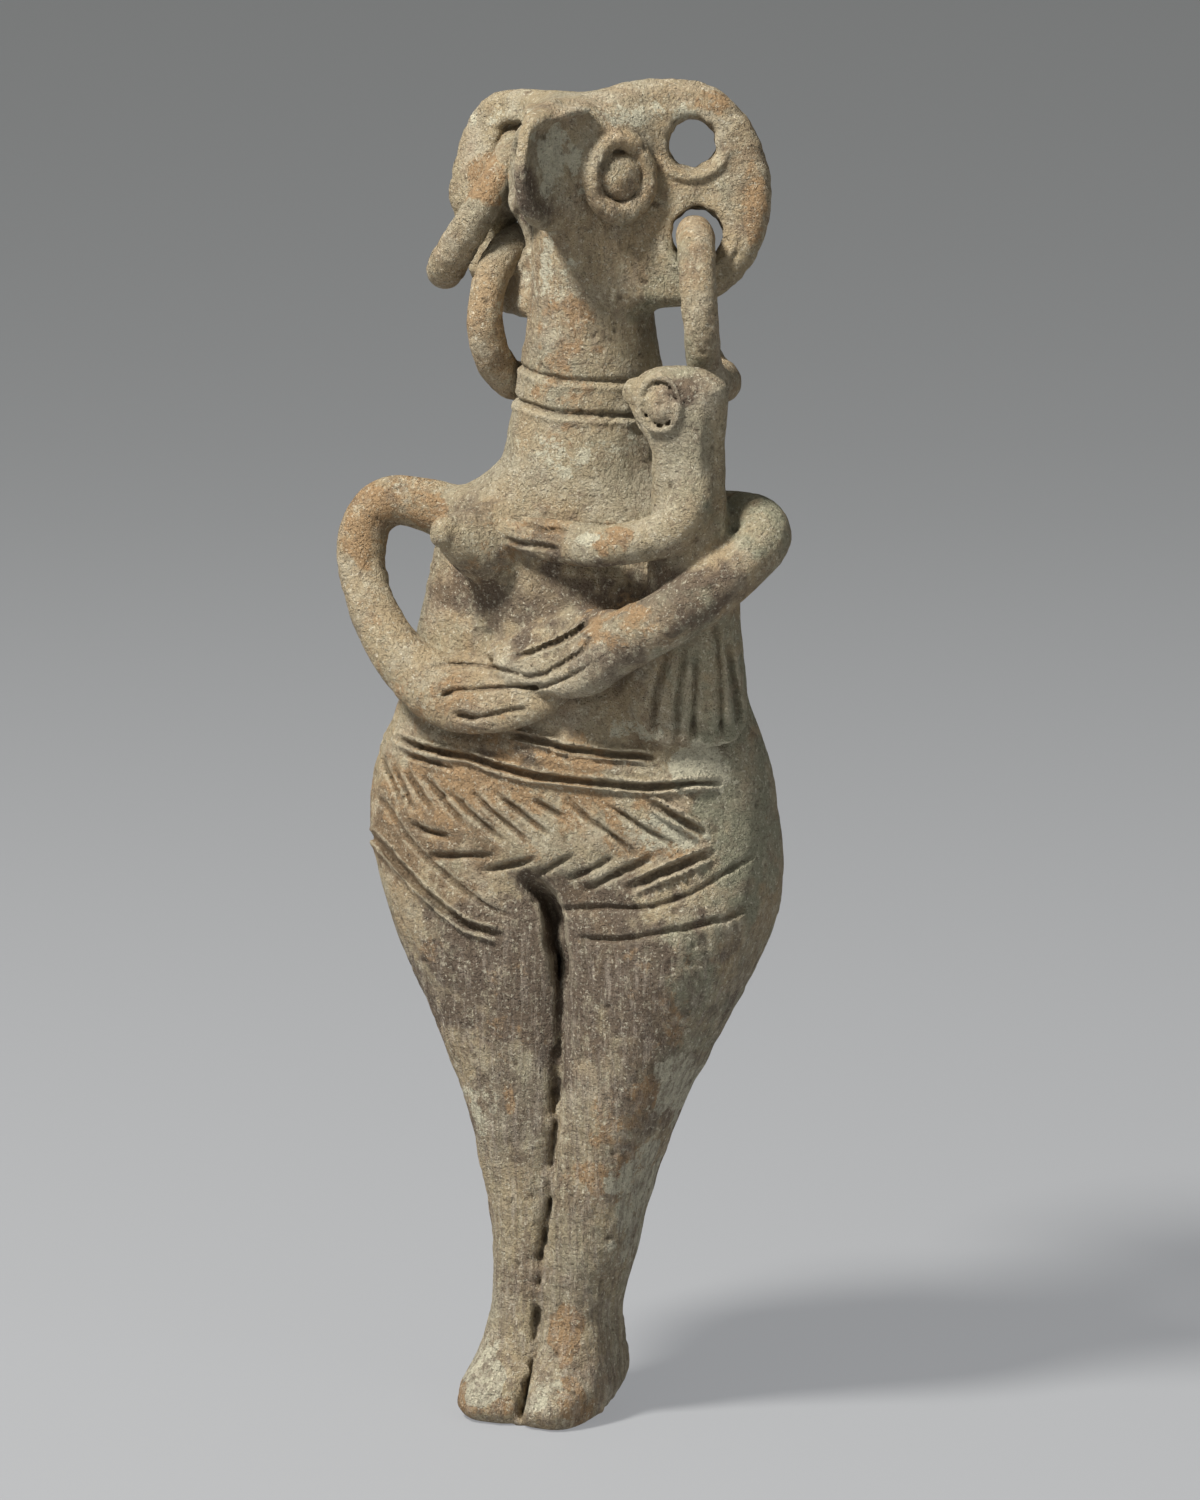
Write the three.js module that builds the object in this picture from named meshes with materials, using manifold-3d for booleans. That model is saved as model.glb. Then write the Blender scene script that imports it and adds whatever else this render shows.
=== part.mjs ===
// Handmade terracotta woman with a bird's face and large pierced ears, holding an infant, with three clay
// rings in her ears. Millimetres, +Z up, her face towards -Y, her left side on +X.
import * as THREE from 'three';
import { LoftGeometry } from 'three/addons/geometries/LoftGeometry.js';
import { mergeVertices } from 'three/addons/utils/BufferGeometryUtils.js';
import Module from 'manifold-3d';

const wasm = await Module();
wasm.setup();

const DEGREE = Math.PI / 180;
const MERGE_WITHIN = 1e-4;
const WELD_WITHIN = 0.004;

// Puts the origin on the ground under the middle of the whole, with its rings.
const ORIGIN_SHIFT = [-0.1, -2.7, 0];

// Torso, neck and head core, from the crotch to the crown: centre, half width, front and back depth, and
// how square the level outline is (2 is an ellipse).
const TORSO = [
  { z: 70, x: 0.2, y: 0.4, wide: 24.6, front: 7.0, back: 8.0, square: 2.4 },
  { z: 78, x: 0.0, y: 0.9, wide: 29.9, front: 11.4, back: 13.2, square: 2.4 },
  { z: 84, x: -0.5, y: 1.3, wide: 32.8, front: 14.3, back: 16.6, square: 2.4 },
  { z: 90, x: -1.1, y: 1.5, wide: 33.6, front: 15.2, back: 17.8, square: 2.35 },
  { z: 96, x: -1.2, y: 1.5, wide: 33.3, front: 15.0, back: 16.6, square: 2.3 },
  { z: 102, x: -0.8, y: 1.2, wide: 32.5, front: 14.2, back: 14.8, square: 2.2 },
  { z: 108, x: -0.1, y: 0.9, wide: 30.4, front: 13.2, back: 12.8, square: 2.1 },
  { z: 115, x: 0.0, y: 0.6, wide: 28.3, front: 12.0, back: 11.2, square: 2 },
  { z: 125, x: 0.0, y: 0.5, wide: 26.0, front: 10.8, back: 10.2, square: 2 },
  { z: 135, x: 0.2, y: 0.6, wide: 23.8, front: 10.2, back: 10.0, square: 2 },
  { z: 142, x: 0.0, y: 1.0, wide: 21.8, front: 10.2, back: 9.8, square: 2 },
  { z: 145.5, x: 0.4, y: 1.6, wide: 16.8, front: 10.3, back: 9.4, square: 2 },
  { z: 149, x: 0.6, y: 2.2, wide: 13.3, front: 10.6, back: 9.4, square: 2 },
  { z: 153, x: 0.8, y: 2.8, wide: 12.5, front: 10.6, back: 9.5, square: 2 },
  { z: 158, x: 0.8, y: 3.4, wide: 11.8, front: 10.3, back: 9.6, square: 2 },
  { z: 166, x: 0.6, y: 3.9, wide: 10.8, front: 10.0, back: 9.6, square: 2 },
  { z: 176, x: 0.3, y: 4.5, wide: 9.8, front: 9.8, back: 9.5, square: 2 },
  { z: 186, x: 0.2, y: 4.7, wide: 9.8, front: 9.8, back: 9.3, square: 2 },
  { z: 196, x: 0.0, y: 5.6, wide: 9.4, front: 9.6, back: 8.4, square: 2 },
  { z: 202, x: 0.0, y: 6.4, wide: 8.8, front: 8.8, back: 6.8, square: 2 },
  { z: 204.4, x: 0.0, y: 6.6, wide: 6.4, front: 6.4, back: 4.6, square: 2 },
];
const TORSO_SIDES = 20;
// Heights at which the torso's rings lie, closer together where it turns in at the shoulders and crown.
const TORSO_HEIGHTS = [
  70, 77, 82, 86, 90, 96, 102, 108, 115, 125, 135, 141, 143.5, 146.5, 149.5, 153, 158, 167, 178, 190, 198, 202, 204.4];

// The pair of legs and feet, from the soles up into the hips. wide is the half width of the pair, heel the
// share by which it narrows towards the back, split where across the pair the two legs meet.
const LEGS = [
  { z: 0, x: -3.0, y: -4.6, wide: 11.2, front: 11.8, back: 12.0, heel: 0.12, split: -2.2 },
  { z: 2.4, x: -3.2, y: -4.6, wide: 11.9, front: 13.2, back: 12.2, heel: 0.1, split: -2.2 },
  { z: 5, x: -2.9, y: -4.5, wide: 12.1, front: 12.4, back: 11.6, heel: 0.06, split: -2.2 },
  { z: 8, x: -2.4, y: -4.2, wide: 11.3, front: 9.8, back: 10.4, heel: 0, split: -2.2 },
  { z: 12, x: -1.9, y: -4.0, wide: 10.6, front: 8.0, back: 8.8, heel: 0, split: -2.0 },
  { z: 18, x: -1.3, y: -3.8, wide: 10.2, front: 7.4, back: 7.6, heel: 0, split: -1.7 },
  { z: 26, x: -0.3, y: -3.2, wide: 11.2, front: 8.0, back: 8.2, heel: 0, split: -1.1 },
  { z: 34, x: 0.0, y: -2.7, wide: 12.5, front: 8.7, back: 9.0, heel: 0, split: -0.1 },
  { z: 42, x: 0.1, y: -2.0, wide: 14.6, front: 9.8, back: 9.8, heel: 0, split: 0.7 },
  { z: 50, x: 0.3, y: -1.4, wide: 17.4, front: 11.0, back: 10.8, heel: 0, split: 1.3 },
  { z: 58, x: 0.5, y: -0.7, wide: 21.3, front: 12.2, back: 12.0, heel: 0, split: 1.9 },
  { z: 66, x: 0.3, y: 0.0, wide: 25.5, front: 13.2, back: 13.4, heel: 0, split: 2.3 },
  { z: 74, x: 0.2, y: 0.6, wide: 29.4, front: 14.2, back: 15.2, heel: 0, split: 2.3 },
  { z: 80, x: 0.0, y: 1.0, wide: 31.5, front: 14.5, back: 16.2, heel: 0, split: 1.4 },
  { z: 84, x: -0.3, y: 1.3, wide: 32.5, front: 14.3, back: 16.5, heel: 0, split: 0.0 },
  { z: 88, x: -0.8, y: 1.4, wide: 32.2, front: 12.9, back: 15.2, heel: 0, split: -0.9 },
  { z: 93, x: -1.1, y: 1.4, wide: 29.6, front: 9.6, back: 11.6, heel: 0, split: -1.7 },
];
const LEG_SQUARE = 2.3;
const LEG_INNER_SQUARE = 6;
// How far each leg reaches past the middle of the pair, so that the two are pressed together.
const LEG_OVERLAP = 0.8;
const LEG_SIDES = 14;
const LEG_HEIGHTS = [0, 1.2, 3, 5.5, 8.5, 12, 18, 26, 34, 43, 52, 61, 70, 78, 84, 88, 93];

// Rolls of clay: each point is x, y, z, half width, half depth, from the shoulder to the fingertips.
const ROLL_END = 0.85;
const ARM_FACING = [0, -0.9, 0.45];
const RIGHT_ARM = {
  facing: ARM_FACING,
  path: [
    [-13, 2, 139.6, 5.2, 5], [-19, 1, 138.8, 4.6, 4.6], [-25, 0, 140.4, 4.2, 4.2], [-30.2, -1.5, 141, 3.9, 4],
    [-33.5, -3, 138.4, 3.7, 3.8], [-34.4, -4.5, 134, 3.7, 3.7], [-33, -6, 128.4, 3.7, 3.7],
    [-29.9, -8, 123.4, 3.9, 3.8], [-25, -10, 118.4, 4.3, 4], [-19, -11.4, 114.8, 5.2, 3.9],
    [-13, -12.2, 113.6, 5.8, 3.3], [-6.5, -12.6, 113.8, 5.4, 2.7], [-0.5, -12.4, 115, 4, 2.3],
    [4, -11.9, 117, 2.3, 1.6]],
  steps: 17,
};
const LEFT_ARM = {
  facing: ARM_FACING,
  path: [
    [14, 2.4, 142, 4.6, 4.6], [21, 1.4, 141.6, 4.4, 4.4], [27, -0.2, 142.4, 4.3, 4.3], [31.6, -2.6, 142.6, 4.2, 4.2],
    [34, -5.4, 140.8, 4.2, 4.2], [32.6, -8.4, 138, 4.2, 4.2], [29.5, -11, 134.8, 4.3, 4.3],
    [25, -13.6, 131.2, 4.4, 4.4], [19.4, -15.4, 127.6, 4.5, 4.4], [13.5, -15.6, 124.4, 5, 4.2],
    [8.5, -14.8, 121.8, 5.8, 3.6], [4, -14, 120.4, 5.3, 2.9], [-1, -13, 119.8, 3.8, 2.3],
    [-6.8, -12.1, 119.6, 2.3, 1.5]],
  steps: 17,
};

// Her right breast: a pinched cone. The other is hidden behind the infant.
const BREAST = {
  facing: [0, 0, 1],
  path: [[-9.6, -4, 136.2, 7.6, 8.2], [-11.4, -9.5, 136.9, 6.3, 6.8], [-13.3, -14.2, 138.6, 3.9, 4.4],
    [-14.8, -18.2, 140.2, 1.6, 2.1]],
  sides: 12,
  steps: 3,
  blunt: 0.08,
};

// Ear plates: swept back and leaning back, joined across the head.
// square is the corner's fullness above and below, holes the places of the two holes on the plate.
const EARS = [
  {
    side: 1,
    centre: [13.4, 7.4, 190.4],
    outer: 14.4,
    square: [2.05, 2.05],
    holes: [{ along: 2.4, upward: 7.8, radius: 3.7 }, { along: 3.2, upward: -6.2, radius: 3.9 }],
  },
  {
    side: -1,
    centre: [-12.8, 7.2, 187.3],
    outer: 14.8,
    square: [2.8, 1.8],
    holes: [{ along: 1.2, upward: 8.8, radius: 3.65 }, { along: 0.4, upward: -5.4, radius: 3.8 }],
  },
];
const EAR_SWEEP = 25;
const EAR_LEAN = 12;
const EAR_THICK = 6.4;
const EAR_ROUND = 1.7;
const EAR_INNER = 15;
const EAR_HIGH = 17.2;
const EAR_INNER_POWER = 3.4;
const EAR_SIDES = 26;
const CROWN_DIP = 2.6;
const HOLE_SIDES = 12;

// Upright sections of the beak, from inside the head to its edge.
const BEAK_X = -0.3;
const BEAK_SQUARE = 2.8;
const BEAK_SIDES = 14;
const BEAK = [
  { y: 4, top: 204.4, bottom: 184.6, half: 8.6 },
  { y: -2, top: 204.8, bottom: 185.4, half: 7.0 },
  { y: -6, top: 204.9, bottom: 186, half: 4.4 },
  { y: -10, top: 204.6, bottom: 186.2, half: 2.6 },
  { y: -14, top: 203.2, bottom: 187, half: 2.0 },
  { y: -17, top: 200.6, bottom: 189, half: 1.8 },
  { y: -18.6, top: 197.6, bottom: 191.6, half: 1.3 },
];

const EYE = {
  sides: 18, radius: 6.3, roll: 1.4, tall: 1.12, button: 2.9, rise: 1.6, base: 4.4, z: 194, tilt: 6,
};
const EYES = [
  { ...EYE, x: 8.8, y: -2.4, azimuth: 54 },
  { ...EYE, x: -8.2, y: -2.6, azimuth: -56, sides: 10 },
];

// The infant, upright against her left breast, beak towards her.
const INFANT_SQUARE = 2.3;
const INFANT_SIDES = 12;
const INFANT_STEP = 5;
const INFANT = [
  { z: 112, x: 23.4, y: -6, wide: 6.6, front: 4.4, back: 6 },
  { z: 120, x: 23.4, y: -7, wide: 7.4, front: 5, back: 6 },
  { z: 130, x: 23.3, y: -8, wide: 7.2, front: 5.2, back: 6 },
  { z: 138, x: 23.2, y: -8.4, wide: 6.6, front: 5.2, back: 6 },
  { z: 144, x: 23.2, y: -8.8, wide: 6.2, front: 5, back: 5.6 },
  { z: 149, x: 23.2, y: -9.4, wide: 5.6, front: 4.4, back: 4.6 },
  { z: 155, x: 23.4, y: -9.9, wide: 5.4, front: 4.1, back: 4.1 },
  { z: 160, x: 23.3, y: -10.2, wide: 6.2, front: 4.1, back: 4.0 },
  { z: 164.4, x: 23.0, y: -10.4, wide: 6.6, front: 4.0, back: 3.8 },
  { z: 166.6, x: 22.6, y: -10.4, wide: 5.4, front: 2.8, back: 2.8 },
];
const INFANT_BEAK = {
  facing: [0, -1, 0],
  path: [[23, -10.4, 160, 6.4, 3.6], [18.6, -10.6, 160.8, 5.4, 3.1], [15.4, -10.7, 161.9, 3.6, 2.4],
    [12.5, -10.7, 162.8, 1.4, 1.5]],
  sides: 8,
  steps: 3,
  blunt: 0.12,
};
const INFANT_EYE = {
  sides: 12, radius: 3.3, roll: 0.5, tall: 1.25, button: 2.0, rise: 0.9, base: 2.4,
  x: 21, y: -14.3, z: 161.4, azimuth: 4, tilt: 0,
};
const INFANT_ARM = {
  facing: [0, -1, 0.1],
  path: [[23.6, -10.6, 152, 3.6, 3], [24.8, -12, 147, 3.8, 3.4], [22.6, -13.4, 142.8, 3.7, 3.4], [17, -15, 140.6, 3.4, 3.2],
    [11, -14.6, 139.4, 3.3, 2.9], [5, -12.8, 139.2, 3.4, 2.1], [0, -11.6, 139.2, 3.3, 1.7],
    [-6.4, -10.4, 139.4, 2.5, 1.3]],
  sides: 8,
  steps: 10,
};
const SKIRT_ROOT = 3;
const SKIRT_STEPS = 6;
const SKIRT = [
  { z: 108, from: 40, to: 56, lift: 1.2 },
  { z: 109.6, from: 34, to: 66, lift: 2.2 },
  { z: 114, from: 29, to: 76, lift: 2.4 },
  { z: 119, from: 28, to: 80, lift: 2.6 },
  { z: 124, from: 33, to: 80, lift: 2.8 },
  { z: 130, from: 40, to: 80, lift: 2.6 },
];

// Incised lines, laid out on the upright plane that faces 25 degrees to her left and pressed back onto the
// clay: each point is the distance across that plane and the height.
const VIEW_AZIMUTH = 25;
const LINE_STEP = 8;
const LINE_LIFT = 0.5;
const LINE_TIP = 0.5;
const INCISED = [
  {
    name: 'right hand',
    half: 0.5,
    deep: 0.9,
    lines: [
      [[-22.5, 118], [-17, 118.7], [-11, 118.4]],
      [[-20.5, 114.4], [-17.5, 115.6], [-10.5, 116.8], [-5.5, 117.4]],
      [[-18.4, 111.4], [-13, 111.8], [-7, 113.4]],
    ],
  },
  {
    name: 'left hand',
    half: 0.5,
    deep: 0.8,
    lines: [
      [[-9.5, 120.6], [-4, 123.6], [0.5, 126], [2.8, 128]],
      [[-9, 118.2], [-4.5, 119.8], [-0.5, 122], [2.6, 125]],
      [[-3.5, 118], [0.5, 120.2], [2.6, 122]],
    ],
  },
  {
    name: 'infant hand',
    half: 0.4,
    deep: 0.6,
    lines: [[[-10, 141.5], [-6, 141], [-1, 141]], [[-11, 139], [-7, 138.4], [-2.5, 138.5]]],
  },
  {
    name: 'infant back and skirt',
    half: 0.6,
    deep: 1.0,
    lines: [
      [[20.9, 161], [20.6, 152], [21.2, 141]],
      [[13.4, 121], [12.4, 116.5], [11.6, 109.6]],
      [[16, 121.5], [15.4, 116.5], [15.1, 109]],
      [[18.4, 122.5], [18.2, 116], [18, 109]],
      [[21.4, 124.5], [21.9, 118], [22, 109.6]],
      [[23.2, 125.5], [24, 118], [24.5, 112.5]],
    ],
  },
  {
    name: 'girdle',
    half: 0.8,
    deep: 0.9,
    lines: [
      [[-28, 104.6], [-20, 104], [-10, 102.8], [0, 102.1], [12, 102], [22, 102.6]],
      [[-10.5, 109.4], [-2.5, 108], [6, 107.3], [14, 106.5]],
      [[-26.5, 102.6], [-18.5, 101.8]],
    ],
  },
  {
    name: 'upper herringbone',
    half: 0.85,
    deep: 1.1,
    lines: [
      [[-29.5, 101], [-26.5, 95]],
      [[-28, 100], [-25, 94.5]],
      [[-26, 100.5], [-22, 94.5]],
      [[-23.5, 100], [-17, 93.5]],
      [[-19.5, 98.5], [-11, 91.5]],
      [[-16, 99], [-7.5, 92]],
      [[-12, 99], [-4, 93.5]],
      [[-6.5, 98.5], [-1.5, 96]],
      [[-1.5, 99], [9.5, 91]],
      [[4.5, 99], [15, 93]],
      [[11.5, 99.5], [19, 95]],
    ],
  },
  {
    name: 'lower herringbone',
    half: 0.85,
    deep: 1.1,
    lines: [
      [[-25.5, 92.5], [-19, 91]],
      [[-22.5, 88], [-12.5, 89.5]],
      [[-14, 87], [-6.5, 89.5]],
      [[-6, 87], [-0.5, 91]],
      [[-0.5, 87], [5.5, 90.5]],
      [[1.5, 85.5], [11.5, 91]],
      [[8.5, 86.5], [20.5, 92]],
    ],
  },
  {
    name: 'top of the cleft',
    half: 1.2,
    deep: 3,
    lines: [[[-7.8, 86.8], [-5.6, 82], [-4.2, 77]]],
  },
  {
    name: 'thighs',
    half: 0.6,
    deep: 0.7,
    lines: [
      [[0.5, 82.6], [7, 82.8], [13, 83.8], [20, 87.2], [26.5, 91]],
      [[2.5, 77.6], [10, 78.6], [17, 80.2], [26.5, 82.8]],
      [[-30, 94.4], [-26, 90.6], [-19, 84.6], [-14, 81.2], [-9.5, 79.6]],
      [[-30, 88], [-24, 82.6], [-18.5, 79], [-11.5, 76.6]],
    ],
  },
];

// Two lines drawn level round the neck.
const NECK_LINES = [{ z: 163.4, roll: 0.6 }, { z: 158.3, roll: 0.7 }];
const NECK_LINE_STEPS = 18;

// Earrings. azimuth is the upright plane each hangs in, tilt leans that plane over sideways, and knob is the
// lump left where one ring's ends were pressed together.
const RING_SIDES = 7;
const RING_STEPS = 16;
const RING_GAP = 0.4;
const KNOB_SIDES = 6;
const KNOB_RINGS = 4;
const EARRINGS = [
  {
    name: 'earring_left_lower',
    radius: 11.4,
    roll: 2.8,
    centre: [18.6, 5.0, 173.4],
    azimuth: 25,
    tilt: 4,
    knob: { radius: 2.4, place: [22.2, 6.6, 162.2] },
  },
  { name: 'earring_right_upper', radius: 12.3, roll: 3.2, centre: [-20.4, 10.8, 186.5], azimuth: 20, tilt: -30 },
  { name: 'earring_right_lower', radius: 10.8, roll: 2.9, centre: [-12.7, 8.8, 170.2], azimuth: -10, tilt: 2 },
];

function mix(a, b, share) {
  return a + (b - a) * share;
}

// Cubic blend of the stations' sizes at height z.
function stationAt(stations, z) {
  const last = stations.length - 1;
  let i = 0;
  while (i < last - 1 && stations[i + 1].z < z) i += 1;
  const pick = (k) => stations[Math.min(Math.max(k, 0), last)];
  const [p0, p1, p2, p3] = [pick(i - 1), pick(i), pick(i + 1), pick(i + 2)];
  const span = p2.z - p1.z;
  const t = (z - p1.z) / span;
  const out = { z };
  for (const key of Object.keys(p1)) {
    if (key === 'z') continue;
    const slope1 = (p2[key] - p0[key]) / (p2.z - p0.z) * span;
    const slope2 = (p3[key] - p1[key]) / (p3.z - p1.z) * span;
    const t2 = t * t;
    const t3 = t2 * t;
    out[key] = (2 * t3 - 3 * t2 + 1) * p1[key] + (t3 - 2 * t2 + t) * slope1
      + (3 * t2 - 2 * t3) * p2[key] + (t3 - t2) * slope2;
  }
  return out;
}

// A closed three.js geometry as a solid that can be joined and cut.
function solidOf(geometry) {
  const bare = new THREE.BufferGeometry();
  bare.setAttribute('position', geometry.attributes.position);
  bare.setIndex(geometry.index);
  const merged = mergeVertices(bare, MERGE_WITHIN);
  return new wasm.Manifold(new wasm.Mesh({
    numProp: 3,
    vertProperties: new Float32Array(merged.attributes.position.array),
    triVerts: new Uint32Array(merged.index.array),
  }));
}

function loft(sections) {
  return solidOf(new LoftGeometry(sections, { closed: true, capStart: true, capEnd: true }));
}

function unite(solids) {
  return solids.reduce((whole, solid) => whole.add(solid));
}

// Level ring of points round a station. The half on one side can be squarer than the other.
function levelRing(size, sides, inner = size.square, innerSide = 1) {
  const ring = [];
  for (let i = 0; i < sides; i += 1) {
    const angle = (i / sides) * 2 * Math.PI;
    const power = 2 / (Math.cos(angle) * innerSide > 0 ? inner : size.square);
    const across = Math.sign(Math.cos(angle)) * Math.abs(Math.cos(angle)) ** power;
    const along = Math.sign(Math.sin(angle)) * Math.abs(Math.sin(angle)) ** power;
    const depth = along < 0 ? size.front : size.back;
    ring.push(new THREE.Vector3(size.x + size.wide * across, size.y + depth * along, size.z));
  }
  return ring;
}

// Heights from the first station to the last, no more than a step apart.
function heights(stations, step) {
  const first = stations[0].z;
  const last = stations[stations.length - 1].z;
  const count = Math.ceil((last - first) / step);
  return Array.from({ length: count + 1 }, (_, i) => mix(first, last, i / count));
}

function makeTorso() {
  const rings = TORSO_HEIGHTS.map((z) => levelRing(stationAt(TORSO, z), TORSO_SIDES));
  return loft(rings);
}

// Draws a point behind the ankle's middle in towards the gap between the feet.
function narrowHeel(point, pair) {
  const behind = Math.max(0, (point.y - pair.y) / pair.back);
  point.x = pair.x + (point.x - pair.x) * (1 - pair.heel * behind);
  return point;
}

// One leg with its foot: half of the pair, a little past the middle so that the two join.
function makeLeg(side) {
  const rings = LEG_HEIGHTS.map((z) => {
    const pair = stationAt(LEGS, z);
    const outer = pair.x + side * pair.wide;
    const inner = pair.split - side * LEG_OVERLAP;
    const leg = { ...pair, x: (outer + inner) / 2, wide: Math.abs(outer - inner) / 2, square: LEG_SQUARE };
    return levelRing(leg, LEG_SIDES, LEG_INNER_SQUARE, -side).map((point) => narrowHeel(point, pair));
  });
  return loft(rings);
}

// Sizes of a roll at parameter t along its path: centre, half width and half depth.
function rollAt(path, t) {
  const place = t * (path.length - 1);
  const i = Math.min(Math.floor(place), path.length - 2);
  return { wide: mix(path[i][3], path[i + 1][3], place - i), deep: mix(path[i][4], path[i + 1][4], place - i) };
}

// A roll of clay swept along a path, rounded off at both ends. Its depth lies towards the facing direction.
function makeRoll({ path, facing, sides = 8, steps = 12, blunt = 0.03 }) {
  const curve = new THREE.CatmullRomCurve3(path.map(([x, y, z]) => new THREE.Vector3(x, y, z)));
  const front = new THREE.Vector3(...facing);
  const shares = [0, blunt / 3];
  for (let i = 0; i <= steps; i += 1) shares.push(mix(blunt, 1 - blunt, i / steps));
  shares.push(1 - blunt / 3, 1);
  const sections = shares.map((share) => {
    const inset = Math.min(share, 1 - share) / blunt;
    const rounding = inset >= 1 ? 1 : Math.sqrt(1 - (1 - inset) ** 2 * ROLL_END);
    const size = rollAt(path, share);
    const centre = curve.getPoint(share);
    const tangent = curve.getTangent(share);
    const across = new THREE.Vector3().crossVectors(front, tangent).normalize();
    const outward = new THREE.Vector3().crossVectors(tangent, across);
    const ring = [];
    for (let k = 0; k < sides; k += 1) {
      const angle = ((k + 0.5) / sides) * 2 * Math.PI;
      ring.push(centre.clone().addScaledVector(across, size.wide * rounding * Math.cos(angle))
        .addScaledVector(outward, size.deep * rounding * Math.sin(angle)));
    }
    return ring;
  });
  return loft(sections);
}

// Axes of an ear plate: out along the plate, up the plate, and out of its front face.
function earFrame(side) {
  const sweep = EAR_SWEEP * DEGREE;
  const lean = EAR_LEAN * DEGREE;
  const out = new THREE.Vector3(side * Math.cos(sweep), Math.sin(sweep), 0);
  const face = new THREE.Vector3(
    side * Math.sin(sweep) * Math.cos(lean), -Math.cos(sweep) * Math.cos(lean), Math.sin(lean));
  const up = new THREE.Vector3().crossVectors(out, face).multiplyScalar(-side);
  return { out, face, up };
}

function earPoint(ear, along, upward, forward) {
  const { out, face, up } = earFrame(ear.side);
  return new THREE.Vector3(...ear.centre)
    .addScaledVector(out, along).addScaledVector(up, upward).addScaledVector(face, forward);
}

// Outline of an ear: half round outside, squarer where it runs into the head, dipping towards the crown.
function earOutline(ear, inset, forward) {
  const ring = [];
  for (let i = 0; i < EAR_SIDES; i += 1) {
    const angle = (ear.side * i / EAR_SIDES) * 2 * Math.PI;
    const c = Math.cos(angle);
    const s = Math.sin(angle);
    const power = c < 0 ? EAR_INNER_POWER : ear.square[s > 0 ? 0 : 1];
    const along = Math.sign(c) * Math.abs(c) ** (2 / power) * ((c < 0 ? EAR_INNER : ear.outer) - inset);
    const dip = s > 0 && along < 0 ? CROWN_DIP * (along / EAR_INNER) ** 2 : 0;
    const upward = Math.sign(s) * Math.abs(s) ** (2 / power) * (EAR_HIGH - inset) - dip;
    ring.push(earPoint(ear, along, upward, forward));
  }
  return ring;
}

function makeEar(ear) {
  const half = EAR_THICK / 2;
  const plate = loft([
    earOutline(ear, EAR_ROUND, -half),
    earOutline(ear, 0, EAR_ROUND * 0.9 - half),
    earOutline(ear, 0, half - EAR_ROUND * 0.9),
    earOutline(ear, EAR_ROUND, half),
  ]);
  return ear.holes.reduce((pierced, hole) => pierced.subtract(makeHole(ear, hole)), plate);
}

// Straight plug that cuts an ear's hole square to the plate.
function makeHole(ear, hole) {
  const plug = new THREE.CylinderGeometry(hole.radius, hole.radius, EAR_THICK * 3, HOLE_SIDES);
  const { face } = earFrame(ear.side);
  plug.applyQuaternion(new THREE.Quaternion().setFromUnitVectors(new THREE.Vector3(0, 1, 0), face));
  const centre = earPoint(ear, hole.along, hole.upward, 0);
  plug.translate(centre.x, centre.y, centre.z);
  return solidOf(plug);
}

// The beak: a thin upright fin pinched forward from the head.
function makeBeak() {
  const sections = BEAK.map(({ y, top, bottom, half }) => {
    const middle = (top + bottom) / 2;
    const high = (top - bottom) / 2;
    const ring = [];
    for (let i = 0; i < BEAK_SIDES; i += 1) {
      const angle = ((i + 0.5) / BEAK_SIDES) * 2 * Math.PI;
      const c = Math.cos(angle);
      const s = Math.sin(angle);
      ring.push(new THREE.Vector3(
        BEAK_X + half * Math.sign(c) * Math.abs(c) ** (2 / BEAK_SQUARE),
        y,
        middle + high * Math.sign(s) * Math.abs(s) ** (2 / BEAK_SQUARE)));
    }
    return ring;
  });
  return loft(sections);
}

// Places a geometry made along +Z so that it faces outwards at an azimuth from the front.
function faceOut(geometry, { x, y, z, azimuth, tilt }) {
  const placed = new THREE.Matrix4().makeTranslation(x, y, z)
    .multiply(new THREE.Matrix4().makeRotationZ(azimuth * DEGREE))
    .multiply(new THREE.Matrix4().makeRotationX((90 - tilt) * DEGREE));
  return solidOf(geometry.applyMatrix4(placed));
}

// An eye: pressed disc with a raised rim and a centre button, turned as one profile.
function makeEye(eye) {
  const rim = eye.radius - 2 * eye.roll;
  const profile = [
    [0, -eye.base], [eye.radius, -eye.base], [eye.radius, eye.roll * 0.5], [eye.radius - eye.roll, eye.roll],
    [rim, 0], [eye.button, 0], [eye.button * 0.65, eye.rise * 0.8], [0, eye.rise],
  ];
  const turned = new THREE.LatheGeometry(profile.map((p) => new THREE.Vector2(...p)), eye.sides);
  turned.rotateX(Math.PI / 2).scale(1, eye.tall, 1);
  return faceOut(turned, eye);
}

function makeInfantBody() {
  const rings = heights(INFANT, INFANT_STEP)
    .map((z) => levelRing({ ...stationAt(INFANT, z), square: INFANT_SQUARE }, INFANT_SIDES));
  return loft(rings);
}

// A point on the torso's skin at a height and an azimuth from the front, lifted off it.
function torsoPoint(z, azimuth, lift) {
  const size = stationAt(TORSO, z);
  const s = Math.sin(azimuth * DEGREE);
  const c = Math.cos(azimuth * DEGREE);
  const depth = c > 0 ? size.front : size.back;
  return new THREE.Vector3(size.x + (size.wide + lift) * s, size.y - (depth + lift) * c, z);
}

// The infant's skirt: a flap of clay lying round her left side.
function makeSkirt() {
  const count = SKIRT_STEPS;
  const sections = SKIRT.map(({ z, from, to, lift }) => {
    const ring = [];
    for (let i = 0; i <= count; i += 1) ring.push(torsoPoint(z, mix(from, to, i / count), lift));
    for (let i = count; i >= 0; i -= 1) ring.push(torsoPoint(z, mix(from, to, i / count), -SKIRT_ROOT));
    return ring;
  });
  return loft(sections);
}

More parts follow.
